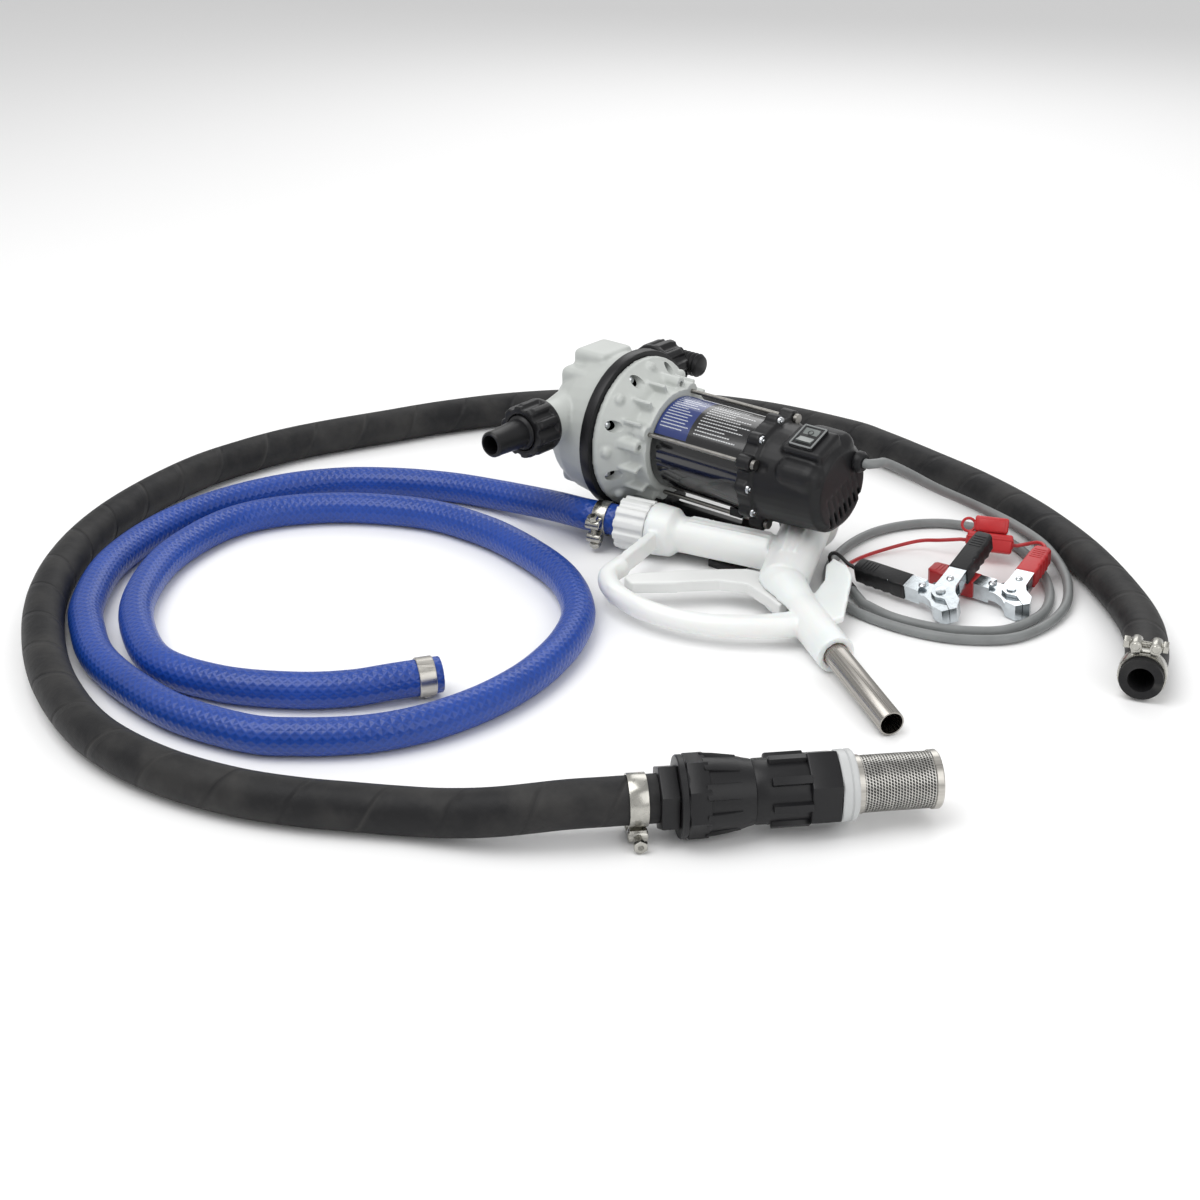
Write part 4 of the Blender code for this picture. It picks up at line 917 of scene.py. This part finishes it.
class PUMPKIT_OT_head(PumpOperator, bpy.types.Operator):
    """Builds the port head with its valve chest and bosses"""
    bl_idname = "pumpkit.head"
    bl_label = "Port head"

    def execute(self, context):
        def extras(bm):
            top = axes((-124, 0, AXIS_H), (0, 0, 1), (1, 0, 0))
            add_block(bm, (-25, -21, 28), (10, 21, 67.5), top, 5.0)
            add_block(bm, (-26.5, -37, -51), (6, 37, 55), top, 6.0)
            add_lathe(bm, ((0, 46), (16.6, 46), (17.5, 30), (22, 8), (26, 0), (0, 0)), NEAR, 48)
            add_lathe(bm, ((0, 40), (16.6, 40), (17.5, 26), (22, 8), (26, 0), (0, 0)), FAR, 48)
            for degrees in range(15, 375, 45):
                rib = PUMP @ Matrix.Rotation(math.radians(degrees), 4, "Z")
                add_block(bm, (40, -2, -134), (60, 2, -108), rib, 0.8, 2)
            for degrees in (40, 66, 112, 146, 200, 232, 290, 325):
                add_ball(bm, (7, 7, 6), clocked(56, degrees, -117))

        softened("Port_head_shell", ["port_head"], finish("head"), 1.3, 5, extras)
        bm = bmesh.new()
        rim = ((70, -99.9), (70.3, -99), (70.3, -91.4), (70, -90.6), (67, -90.6), (67, -99.9))
        add_lathe(bm, rim, PUMP, 128)
        finished("Clamping_ring_rim", bm, finish("ring"))
        dress("diaphragm_ring", finish("ring"))
        return {"FINISHED"}


class PUMPKIT_OT_housing(PumpOperator, bpy.types.Operator):
    """Builds the drive housing with its ribs, bosses, screw recesses and screws"""
    bl_idname = "pumpkit.housing"
    bl_label = "Drive housing"

    def execute(self, context):
        recesses = [22.5 + 45 * k for k in range(8)]

        def extras(bm):
            for degrees in recesses:
                add_ball(bm, (5.4, 5.4, 4.4), clocked(59, degrees + 22.5, HOUSING_START + 11))
                wall = PUMP @ Matrix.Rotation(math.radians(degrees + 4), 4, "Z")
                for side in (-12.5, 9.0):
                    add_block(bm, (42, side, HOUSING_START + 12),
                              (54, side + 3.6, HOUSING_END - 4), wall, 1.0, 2)
                add_block(bm, (42, -12, HOUSING_START + 12), (50, 12, HOUSING_START + 16), wall,
                          1.0, 2)
            for degrees in ROD_ANGLES:
                add_lathe(bm, round_bar(6.2, HOUSING_END - 22, HOUSING_END - 1.0, 0.8),
                          clocked(ROD_CIRCLE, degrees), 24)
                add_lathe(bm, round_bar(5.6, HOUSING_END - 26, HOUSING_END - 4.0, 0.8),
                          clocked(ROD_CIRCLE + 5, degrees + 15), 24)

        def carve(bm):
            for degrees in recesses:
                add_lathe(bm, round_bar(5.2, HOUSING_START + 5, HOUSING_END + 4, 0.2),
                          clocked(SCREW_CIRCLE, degrees), 24)
            for degrees in ROD_ANGLES:
                add_lathe(bm, round_bar(2.4, HOUSING_END - 14, HOUSING_END - 2, 0.1),
                          clocked(ROD_CIRCLE + 5, degrees + 15), 16)

        softened("Drive_housing_shell", ["drive_housing"], finish("head"), 1.2, 4, extras,
                 carve=carve)
        bm = bmesh.new()
        for degrees in recesses:
            at = clocked(SCREW_CIRCLE, degrees, HOUSING_START + 5.2)
            add_lathe(bm, ((0, 3.6), (2.2, 3.4), (3.5, 2.2), (3.6, 0), (0, 0)), at, 20)
        finished("Housing_screws", bm, finish("plate"))
        return {"FINISHED"}


class PUMPKIT_OT_motor(PumpOperator, bpy.types.Operator):
    """Builds the motor can and its two stickers"""
    bl_idname = "pumpkit.motor"
    bl_label = "Motor"

    def execute(self, context):
        low, high = HOUSING_END + GAP, MOTOR_END - GAP
        lathe("Motor_can_shell",
              ((MOTOR_R - 1.2, high), (MOTOR_R - 0.3, high - 0.3), (MOTOR_R, high - 1.2),
               (MOTOR_R, low + 1.2), (MOTOR_R - 0.3, low + 0.3), (MOTOR_R - 1.2, low),
               (MOTOR_R - 2, low), (MOTOR_R - 2, high)),
              finish("can"), PUMP, replaces=["motor_can"], steps=128)
        for name, coat, start, end in (("Blue_sticker", "label_blue", -47, STICKER_SPLIT),
                                       ("Black_sticker", "label_black", STICKER_SPLIT, 42)):
            bm = bmesh.new()
            radius = (MOTOR_R + 0.12) * MM
            first = PUMP @ Matrix.Rotation(math.radians(LABEL_FROM), 4, "Z")
            ends = [bm.verts.new(first @ Vector((radius, 0, z * MM))) for z in (start, end)]
            edge = bm.edges.new(ends)
            bmesh.ops.spin(bm, geom=[*ends, edge], cent=(0, 0, AXIS_H * MM), axis=(1, 0, 0),
                           angle=math.radians(LABEL_TO - LABEL_FROM), steps=40, use_merge=False,
                           use_duplicate=False)
            bmesh.ops.recalc_face_normals(bm, faces=bm.faces)
            bmesh.ops.solidify(bm, geom=list(bm.faces), thickness=0.0001)
            finished(name, bm, finish(coat))
        return {"FINISHED"}


class PUMPKIT_OT_end_cap(PumpOperator, bpy.types.Operator):
    """Builds the end cap, its lobes and screws, and the rocker switch"""
    bl_idname = "pumpkit.end_cap"
    bl_label = "End cap and switch"

    def execute(self, context):
        screws = (93.0, 128.0, 183.0, 215.0)

        def extras(bm):
            for degrees in screws:
                add_lathe(bm, round_bar(6.0, MOTOR_END + 1, FLANGE_END - 1.5, 0.6),
                          clocked(ROD_CIRCLE - 1.5, degrees), 24)
            add_block(bm, (-18, -16, 30), (20, 16, 44.5), SWITCH, 3.0)
            add_block(bm, (-20, -34, -22), (23.4, 34, 37), SWITCH, 12.0, 4)
            add_block(bm, (-40, -3, FLANGE_END + 6), (-34, 3, CAP_END - 10),
                      PUMP @ Matrix.Rotation(math.radians(-20), 4, "Z"), 1.5, 2)

        softened("End_cap_shell", ["end_cap"], finish("black"), 1.1, 4, extras)
        bm = bmesh.new()
        for degrees in screws:
            at = clocked(ROD_CIRCLE - 0.5, degrees, FLANGE_END - 1.6)
            add_lathe(bm, ((0, 3.0), (1.2, 3.0), (1.4, 2.2), (3.4, 2.2), (3.8, 1.4), (3.8, 0),
                           (0, 0)), at, 20)
        finished("Flange_screws", bm, finish("plate"))
        bm = bmesh.new()
        add_block(bm, (-11.5, -13.5, 44.6), (11.5, 13.5, 47.4), SWITCH, 2.4)
        finished("Switch_frame", bm, finish("fitting"), replaces=["switch_bezel"])
        bm = bmesh.new()
        rim = [(10.0, -12.0), (10.0, 12.0), (-10.0, 12.0), (-10.0, -12.0)]
        for a, b in zip(rim, rim[1:] + rim[:1]):
            add_tube(bm, [point_on(SWITCH, *a, 47.4), point_on(SWITCH, *b, 47.4)], 0.8, 8)
        finished("Switch_rim", bm, finish("rim"))
        bm = bmesh.new()
        outline = ((-8.4, 5.6), (-4.0, 3.9), (0.0, 3.2), (4.0, 3.6), (8.4, 4.4), (8.0, -1.0),
                   (-8.0, -1.0))
        side_on = spun(spun(shifted(SWITCH, z=44), 90, "Y"), 90)
        add_slab(bm, outline[::-1], -7.0, 7.0, side_on, 0.6)
        finished("Rocker", bm, finish("rocker"), "rocker", ["switch_rocker"])
        bm = bmesh.new()
        mark = shifted(SWITCH, y=4.2, z=48.0)
        ring = [point_on(mark, 2.2 * math.cos(a), 2.2 * math.sin(a), 0)
                for a in (math.tau * k / 20 for k in range(21))]
        add_tube(bm, ring, 0.3, 6)
        finished("Rocker_mark", bm, finish("mark"), "rocker")
        return {"FINISHED"}


class PUMPKIT_OT_fittings(PumpOperator, bpy.types.Operator):
    """Builds the union nuts, the near spigot and the ribbed elbow of the ports"""
    bl_idname = "pumpkit.fittings"
    bl_label = "Port fittings"

    def execute(self, context):
        for side, place, boss in (("near", NEAR, NEAR_BOSS), ("far", FAR, FAR_BOSS)):
            start = boss - 12

            def extras(bm, place=place, start=start):
                add_lathe(bm, ((22.2, start + 5), (22.8, start + 4), (22.8, start + 1),
                               (22.2, start), (17, start), (17, start + 5)), place, 64)
                for k in range(10):
                    rib = spun(place, 36 * k + 9)
                    add_block(bm, (18, -3.2, start + 2), (23.4, 3.2, start + 24), rib, 1.4, 2)

            softened(side.title() + "_union_nut", [side + "_union_nut"], finish("fitting"),
                     0.9, 3, extras)
        end = NEAR_BOSS + GAP
        lathe("Near_spigot_shell",
              ((8.2, end + 53), (9.6, end + 53), (11.0, end + 51.4), (11.2, end + 48),
               (11.0, end + 45), (11.6, end + 34), (12.2, end + 24), (12.6, end + 18),
               (14.6, end + 16.4), (15, end + 15.6), (15, end), (8.2, end)),
              finish("fitting"), NEAR, replaces=["near_spigot"], steps=64)
        bm = bmesh.new()
        outlet = FAR_BOSS + 25.5
        bend = ((0, 0, FAR_BOSS + GAP), (0, 0, outlet - 11), (0, 3, outlet - 4), (0, 9, outlet),
                (0, 28, outlet))
        points = [point_on(FAR, *p) for p in smooth_route(bend, 3)]
        add_tube(bm, points, 9.2, 24)
        barb = axes(points[-1], (1, 0, 0), (0, 0, 1))
        ridges = [(7, 0.2)]
        for k in range(5):
            at = -22 + k * 4.4
            ridges += [(8.9, at), (10.6, at + 0.9), (10.8, at + 1.7), (9.2, at + 4.2)]
        add_lathe(bm, ((0, 0.6), (7.5, 0.6), *ridges[:0:-1], (0, -22)), barb, 48)
        finished("Far_elbow_shell", bm, finish("fitting"), replaces=["far_elbow"])
        return {"FINISHED"}


class PUMPKIT_OT_foot_valve(PumpOperator, bpy.types.Operator):
    """Builds the hose adapter, coupling, foot valve and perforated strainer"""
    bl_idname = "pumpkit.foot_valve"
    bl_label = "Foot valve and strainer"

    def execute(self, context):
        low = HOSE_STOP + 12 + GAP
        high = low + 48
        body_low = high + GAP
        body_high = body_low + 38
        bm = bmesh.new()
        add_slab(bm, arc(23, 0, math.tau * 5 / 6, 5), HOSE_STOP, HOSE_STOP + 12, STRAINER, 1.0)
        finished("Hose_adapter_hex", bm, finish("fitting"), replaces=["strainer_adapter"])
        bm = bmesh.new()
        add_lathe(bm, ((0, low), (26.4, low), (27, low + 0.8), (27, low + 4), (25.6, low + 4.8),
                       (24.6, low + 20), (23.4, high - 8), (22.2, high - 4), (21.4, high),
                       (0, high)),
                  STRAINER, 96)
        add_slab(bm, arc(27.6, math.radians(10), math.radians(325), 7), low + 5, low + 19,
                 STRAINER, 1.0, 2)
        for k in range(8):
            rib = spun(spun(STRAINER, 45 * k + 10), 90, "X")
            add_slab(bm, ((21, low + 16), (26.9, low + 16), (26.2, low + 24), (23.9, high - 9),
                          (21, high - 9)), -5.4, 5.4, rib, 0.8, 2)
        finished("Coupling_nut", bm, finish("fitting"), replaces=["strainer_coupling"])
        bm = bmesh.new()
        add_lathe(bm, ((0, body_high + 17), (15.2, body_high + 17), (15.2, body_low + 36),
                       (21, body_low + 36), (21.4, body_low + 32), (21.4, body_low + 9),
                       (21.4, body_low + 2), (20.6, body_low), (0, body_low)), STRAINER, 96)
        for k in range(8):
            rib = spun(STRAINER, 45 * k)
            add_slab(bm, ((19, -3.2), (24.3, -2.6), (24.3, 2.6), (19, 3.2)), body_low + 10,
                     body_low + 36, rib, 0.9, 2)
        add_slab(bm, arc(26, 0, math.tau * 5 / 6, 5), body_high - 3, body_high + 17, STRAINER, 1.2)
        finished("Foot_valve_shell", bm, finish("fitting"), replaces=["foot_valve_body"])
        ring_low = body_high + 17 + GAP
        lathe("Strainer_seal", ((22.6, ring_low + 11), (23.5, ring_low + 10),
                                (23.5, ring_low + 7.2), (22.8, ring_low + 6.4),
                                (23.5, ring_low + 5.6),
                                (23.5, ring_low + 0.8),
                                (22.8, ring_low), (15, ring_low), (15, ring_low + 11)),
              finish("seal"), STRAINER, replaces=["seal_ring"], steps=96)
        base = ring_low + 11 + GAP
        self.basket(base)
        return {"FINISHED"}

    def basket(self, base):
        """A sheet of staggered holes rolled into a tube, with a rolled rim and a closed end."""
        around, rows = 56, 27
        radius, length = 18.6, 53.0
        bm = bmesh.new()
        bmesh.ops.create_grid(bm, x_segments=around, y_segments=rows, size=0.5)
        flat = (math.tau * radius * MM, length * MM, 1)
        bmesh.ops.scale(bm, vec=flat, verts=bm.verts)
        holes = list(bm.faces)
        bmesh.ops.inset_individual(bm, faces=holes, thickness=0.00036)
        bmesh.ops.delete(bm, geom=holes, context="FACES_ONLY")
        for vert in bm.verts:
            rise = vert.co.y / (length * MM) + 0.5
            turn = (vert.co.x / flat[0] + rise * rows * 0.5 / around) * math.tau
            vert.co = (radius * math.cos(turn) * MM, radius * math.sin(turn) * MM,
                       (base + 1 + rise * length) * MM)
        bmesh.ops.remove_doubles(bm, verts=bm.verts, dist=0.00002)
        bmesh.ops.recalc_face_normals(bm, faces=bm.faces)
        bmesh.ops.solidify(bm, geom=list(bm.faces), thickness=0.0006)
        bmesh.ops.transform(bm, matrix=STRAINER, verts=bm.verts)
        finished("Strainer_sheet", bm, finish("basket"), replaces=["strainer_basket"],
                 recalc=False)
        top = base + length + 1
        bm = bmesh.new()
        add_lathe(bm, ((0, top + 1), (16.5, top + 1), (17.6, top + 1.8), (18.8, top + 1.8),
                       (19.4, top + 1), (19.4, top - 3), (18.7, top - 3.4), (18.3, top - 3),
                       (18.2, top), (0, top)), STRAINER, 64)
        add_lathe(bm, ((19.2, base + 4), (19.2, base), (18.0, base), (18.0, base + 4)), STRAINER,
                  64)
        finished("Strainer_rims", bm, finish("stainless"))
        lathe("Strainer_liner", ((16.8, top - 3), (16.8, base + 1), (16.2, base + 1),
                                 (16.2, top - 3)),
              finish("liner"), STRAINER, steps=48)


class PUMPKIT_OT_clamps(PumpOperator, bpy.types.Operator):
    """Builds the three bolt clamps and the plain band of the hoses"""
    bl_idname = "pumpkit.clamps"
    bl_label = "Hose clamps"

    def clamp(self, name, node, hose_r, place, reach, head=-15.5):
        bore = hose_r + 0.3
        bm = bmesh.new()
        add_lathe(bm, ((bore + 1.0, 12.6), (bore + 1.2, 12.2), (bore + 1.2, 0.8),
                       (bore + 1.0, 0.4), (bore, 0.4), (bore, 12.6)), place, 64)
        middle = bore + reach
        for side in (-1, 1):
            loop = shifted(place, middle, side * 7.0)
            add_lathe(bm, ((4.2, 12.6), (4.4, 12.2), (4.4, 0.8), (4.2, 0.4), (3.0, 0.4),
                           (3.0, 12.6)), loop, 24)
            strap = [(bore - 0.2, side * 4.0), (bore + 0.8, side * 9.5),
                     (middle + 1.5, side * 11.4), (middle - 1.5, side * 3.0)]
            add_slab(bm, strap if side < 0 else strap[::-1], 1.0, 12.0, place, 0.4, 2)
            add_lathe(bm, round_bar(3.2, 0.0, 13.0, 0.5), loop, 20)
        add_slab(bm, ((bore + 0.6, -10), (bore + 2.2, -9), (bore + 2.2, 9), (bore + 0.6, 10)),
                 1.2, 11.8, place, 0.4, 2)
        bolt = spun(shifted(place, middle, 0, 6.5), -90, "X")
        add_lathe(bm, round_bar(2.5, head, 15.5, 0.5), bolt, 20)
        for k in range(9):
            z = -4.0 + k
            add_lathe(bm, ((2.5, z + 0.5), (2.95, z + 0.25), (2.5, z), (2.2, z), (2.2, z + 0.5)),
                      bolt, 16)
        add_slab(bm, arc(4.9, 0, math.tau * 5 / 6, 5), 11.5, 16.0, bolt, 0.6, 2)
        add_slab(bm, arc(4.9, 0, math.tau * 5 / 6, 5), head, head + 3.8, bolt, 0.6, 2)
        return finished(name, bm, finish("clamp"), replaces=[node], smooth=30.0)

    def execute(self, context):
        self.clamp("Strainer_clamp_bolted", "strainer_clamp", SUCTION_BAND_R,
                   spun(shifted(STRAINER, z=3), 180), 5.8, -22.0)
        self.clamp("Suction_end_clamp_bolted", "suction_end_clamp", SUCTION_BAND_R,
                   self.end(SUCTION), 7.0)
        self.clamp("Nozzle_clamp_bolted", "nozzle_clamp", DELIVERY_BAND_R,
                   spun(shifted(GRIP, z=-24), 100), 6.5)
        bore = 13.7
        lathe("Delivery_end_band",
              ((bore + 0.9, 12.8), (bore + 1.2, 12.4), (bore + 1.2, 0.6), (bore + 0.9, 0.2),
               (bore, 0.2), (bore, 12.8)), finish("stainless"), self.end(DELIVERY),
              replaces=["delivery_end_clamp"], steps=64)
        bm = bmesh.new()
        place = spun(self.end(DELIVERY), 150)
        add_slab(bm, arc(3.0, 0, math.tau * 11 / 12, 11), bore + 0.9, bore + 1.9,
                 spun(shifted(place, z=6.5), 90, "Y"), 0.3, 2)
        finished("Delivery_band_rivet", bm, finish("clamp"))
        return {"FINISHED"}

    @staticmethod
    def end(route, back=18.0):
        last = Vector(route[-1])
        direction = (last - Vector(route[-2])).normalized()
        return axes(last - direction * back, direction)


class PUMPKIT_OT_nozzle(PumpOperator, bpy.types.Operator):
    """Builds the nozzle body, its nuts, lever and spout"""
    bl_idname = "pumpkit.nozzle"
    bl_label = "Nozzle"

    def execute(self, context):
        def extras(bm):
            for side in (-5.5, 0.0, 5.5):
                add_block(bm, (12, side - 1.1, 62), (16.4, side + 1.1, 134), GRIP, 0.8, 2)
                add_block(bm, (17, side - 1.0, 12), (21.6, side + 1.0, 92), CHAMBER, 0.8, 2)
            outer = [(-97, -76), (-99, -98), (-81, -120), (-51, -134), (-20, -138), (12, -134),
                     (46, -120), (74, -104)]
            line = [point_on(NOZZLE, x + 4, y + 3, 0) for x, y in outer]
            add_tube(bm, smooth_route(line, 4), 8.6, 16)

        softened("Nozzle_shell", ["nozzle_body"], finish("white"), 1.25, 5, extras)
        softened("Nozzle_lever", ["trigger_lever"], finish("lever"), 1.0, 6, body="trigger")
        softened("Nozzle_tail_nut_shell", ["nozzle_tail_nut"], finish("cap"), 0.9, 4)
        lathe("Chamber_cap_shell",
              ((0, -0.3), (24.8, -0.3), (25.5, -1), (25.5, -7), (24.6, -8), (25.2, -9),
               (25.2, -19), (24.2, -20.4), (20, -23.6), (17, -24.6), (0, -24.6)),
              finish("white"), CHAMBER,
              replaces=["chamber_cap"], steps=96)
        lathe("Spout_tube",
              ((9.3, 209.9), (9.5, 209.6), (9.5, 92.2), (9.3, 92), (8.3, 92), (8.3, 209.9)),
              finish("spout"), HOLDER, replaces=["spout"], steps=96)
        return {"FINISHED"}


class PUMPKIT_OT_clips(PumpOperator, bpy.types.Operator):
    """Builds the battery clips: plated jaws, rivets, spring and ribbed grips"""
    bl_idname = "pumpkit.clips"
    bl_label = "Battery clips"

    def execute(self, context):
        for colour in ("black", "red"):
            flat, handle = clip_frame(colour)
            for half, sign in (("upper", 1), ("lower", -1)):
                node = f"clip_{colour}_{half}"
                body = f"{colour}_jaw" if (colour, half) in TURNING_HALVES else KIT
                dress(node, finish("clip_steel"))
                turn = 180 - sign * math.degrees(CLIP_HALF_ANGLE)
                grip = spun(flat, turn)
                start = 30.0
                inside = [(start, -8.4), (handle - 8, -8.0), (handle + 2.0, -7.2),
                          (handle + 4.2, -5.0)]
                waves = [(handle + 4.2, 5.0), (handle + 1.5, 7.6)]
                for k in range(4):
                    x = handle - 5 - k * (handle - start - 12) / 4
                    waves += [(x, 7.6), (x - 4, 8.8)]
                waves.append((start, 8.6))
                outline = [(x, -y * sign) for x, y in inside + waves]
                bm = bmesh.new()
                add_slab(bm, outline, -7.8, 7.8, grip, 2.2, 4)
                for k in range(5):
                    z = handle - 3 - k * 3.0
                    rib = spun(shifted(grip, x=z), 90, "Y")
                    add_block(bm, (-8.2, -5.2, -0.6), (8.2, 5.2, 0.6), rib, 0.5, 2)
                finished(f"Clip_{colour}_{half}_grip", bm, finish(f"{colour}_grip"), body)
                bm = bmesh.new()
                for z in (7.0, -7.0):
                    side = 1 if z > 0 else -1
                    at = shifted(grip, 17, 0, z)
                    if side < 0:
                        at = spun(at, 180, "X")
                    add_lathe(bm, ((0, 1.5), (2.0, 1.3), (3.0, 0.5), (3.1, -0.2), (0, -0.2)), at,
                              20)
                finished(f"Clip_{colour}_{half}_rivets", bm, finish("plate"), body)
            bm = bmesh.new()
            coil = [point_on(flat, 4.6 * math.cos(a) - 12.5, 4.6 * math.sin(a), -3 + 6 * k / 72)
                    for k, a in ((k, math.tau * 3 * k / 72) for k in range(73))]
            add_tube(bm, coil, 0.7, 8)
            finished(f"Clip_{colour}_spring", bm, finish("dark_steel"))
        return {"FINISHED"}


class PUMPKIT_OT_fuse(PumpOperator, bpy.types.Operator):
    """Builds the fuse holder, its lid and the ring of its strap"""
    bl_idname = "pumpkit.fuse"
    bl_label = "Fuse holder"

    def execute(self, context):
        bm = bmesh.new()
        add_block(bm, (-19, -9, -8), (19, 9, 8), FUSE, 2.4, 4)
        add_block(bm, (-19.6, -9.5, 2.6), (19.6, 9.5, 4.2), FUSE, 0.7, 2)
        for side in (-1, 1):
            end = spun(FUSE, 90 * side, "Y")
            add_lathe(bm, ((0, 20), (3.0, 20), (3.4, 19), (3.6, 14), (0, 14)), end, 24)
        finished("Fuse_holder_body", bm, finish("red"), replaces=["fuse_body"])
        bm = bmesh.new()
        add_block(bm, (-14, -9, 8.3), (14, 9, 21.5), FUSE, 2.2, 4)
        add_block(bm, (-11, -9.5, 9.5), (11, -7, 19), FUSE, 0.8, 2)
        finished("Fuse_holder_lid", bm, finish("red"), "lid", ["fuse_lid"])
        bm = bmesh.new()
        loop = [point_on(FUSE, -19 + 5.5 * math.cos(a), -2, 13 + 5.5 * math.sin(a))
                for a in (math.tau * k / 24 for k in range(25))]
        add_tube(bm, loop, 1.2, 10)
        add_tube(bm, [point_on(FUSE, -17, -2, 7.5), point_on(FUSE, -15, -2, 5)], 1.6, 10)
        finished("Fuse_strap_ring", bm, finish("red"))
        return {"FINISHED"}


class PUMPKIT_OT_base(PumpOperator, bpy.types.Operator):
    """Builds the base with soft moulded edges"""
    bl_idname = "pumpkit.base"
    bl_label = "Base"

    def execute(self, context):
        softened("Base_shell", ["base_foot"], finish("black"), 1.2, 3)
        return {"FINISHED"}


STEPS = (
    PUMPKIT_OT_stage, PUMPKIT_OT_hoses, PUMPKIT_OT_leads, PUMPKIT_OT_plain_nodes,
    PUMPKIT_OT_head, PUMPKIT_OT_housing, PUMPKIT_OT_motor, PUMPKIT_OT_end_cap,
    PUMPKIT_OT_fittings, PUMPKIT_OT_foot_valve, PUMPKIT_OT_clamps, PUMPKIT_OT_nozzle,
    PUMPKIT_OT_clips, PUMPKIT_OT_fuse, PUMPKIT_OT_base,
)


class PUMPKIT_PT_panel(bpy.types.Panel):
    bl_idname = "PUMPKIT_PT_panel"
    bl_label = "Fluid transfer pump"
    bl_space_type = "VIEW_3D"
    bl_region_type = "UI"
    bl_category = "Pump"

    def draw(self, context):
        for step in STEPS:
            self.layout.operator(step.bl_idname)
        for group in (context.scene.pumpkit_colours, context.scene.pumpkit_sizes):
            for name in group.bl_rna.properties.keys():
                if name not in ("rna_type", "name"):
                    self.layout.prop(group, name)


CLASSES = (PUMPKIT_PG_colours, PUMPKIT_PG_sizes, *STEPS, PUMPKIT_PT_panel)


def register():
    for cls in CLASSES:
        bpy.utils.register_class(cls)
    bpy.types.Scene.pumpkit_colours = bpy.props.PointerProperty(type=PUMPKIT_PG_colours)
    bpy.types.Scene.pumpkit_sizes = bpy.props.PointerProperty(type=PUMPKIT_PG_sizes)


def unregister():
    del bpy.types.Scene.pumpkit_sizes
    del bpy.types.Scene.pumpkit_colours
    for cls in reversed(CLASSES):
        bpy.utils.unregister_class(cls)


def main():
    register()
    for step in STEPS:
        group, name = step.bl_idname.split(".")
        getattr(getattr(bpy.ops, group), name)()


if __name__ == "__main__":
    main()
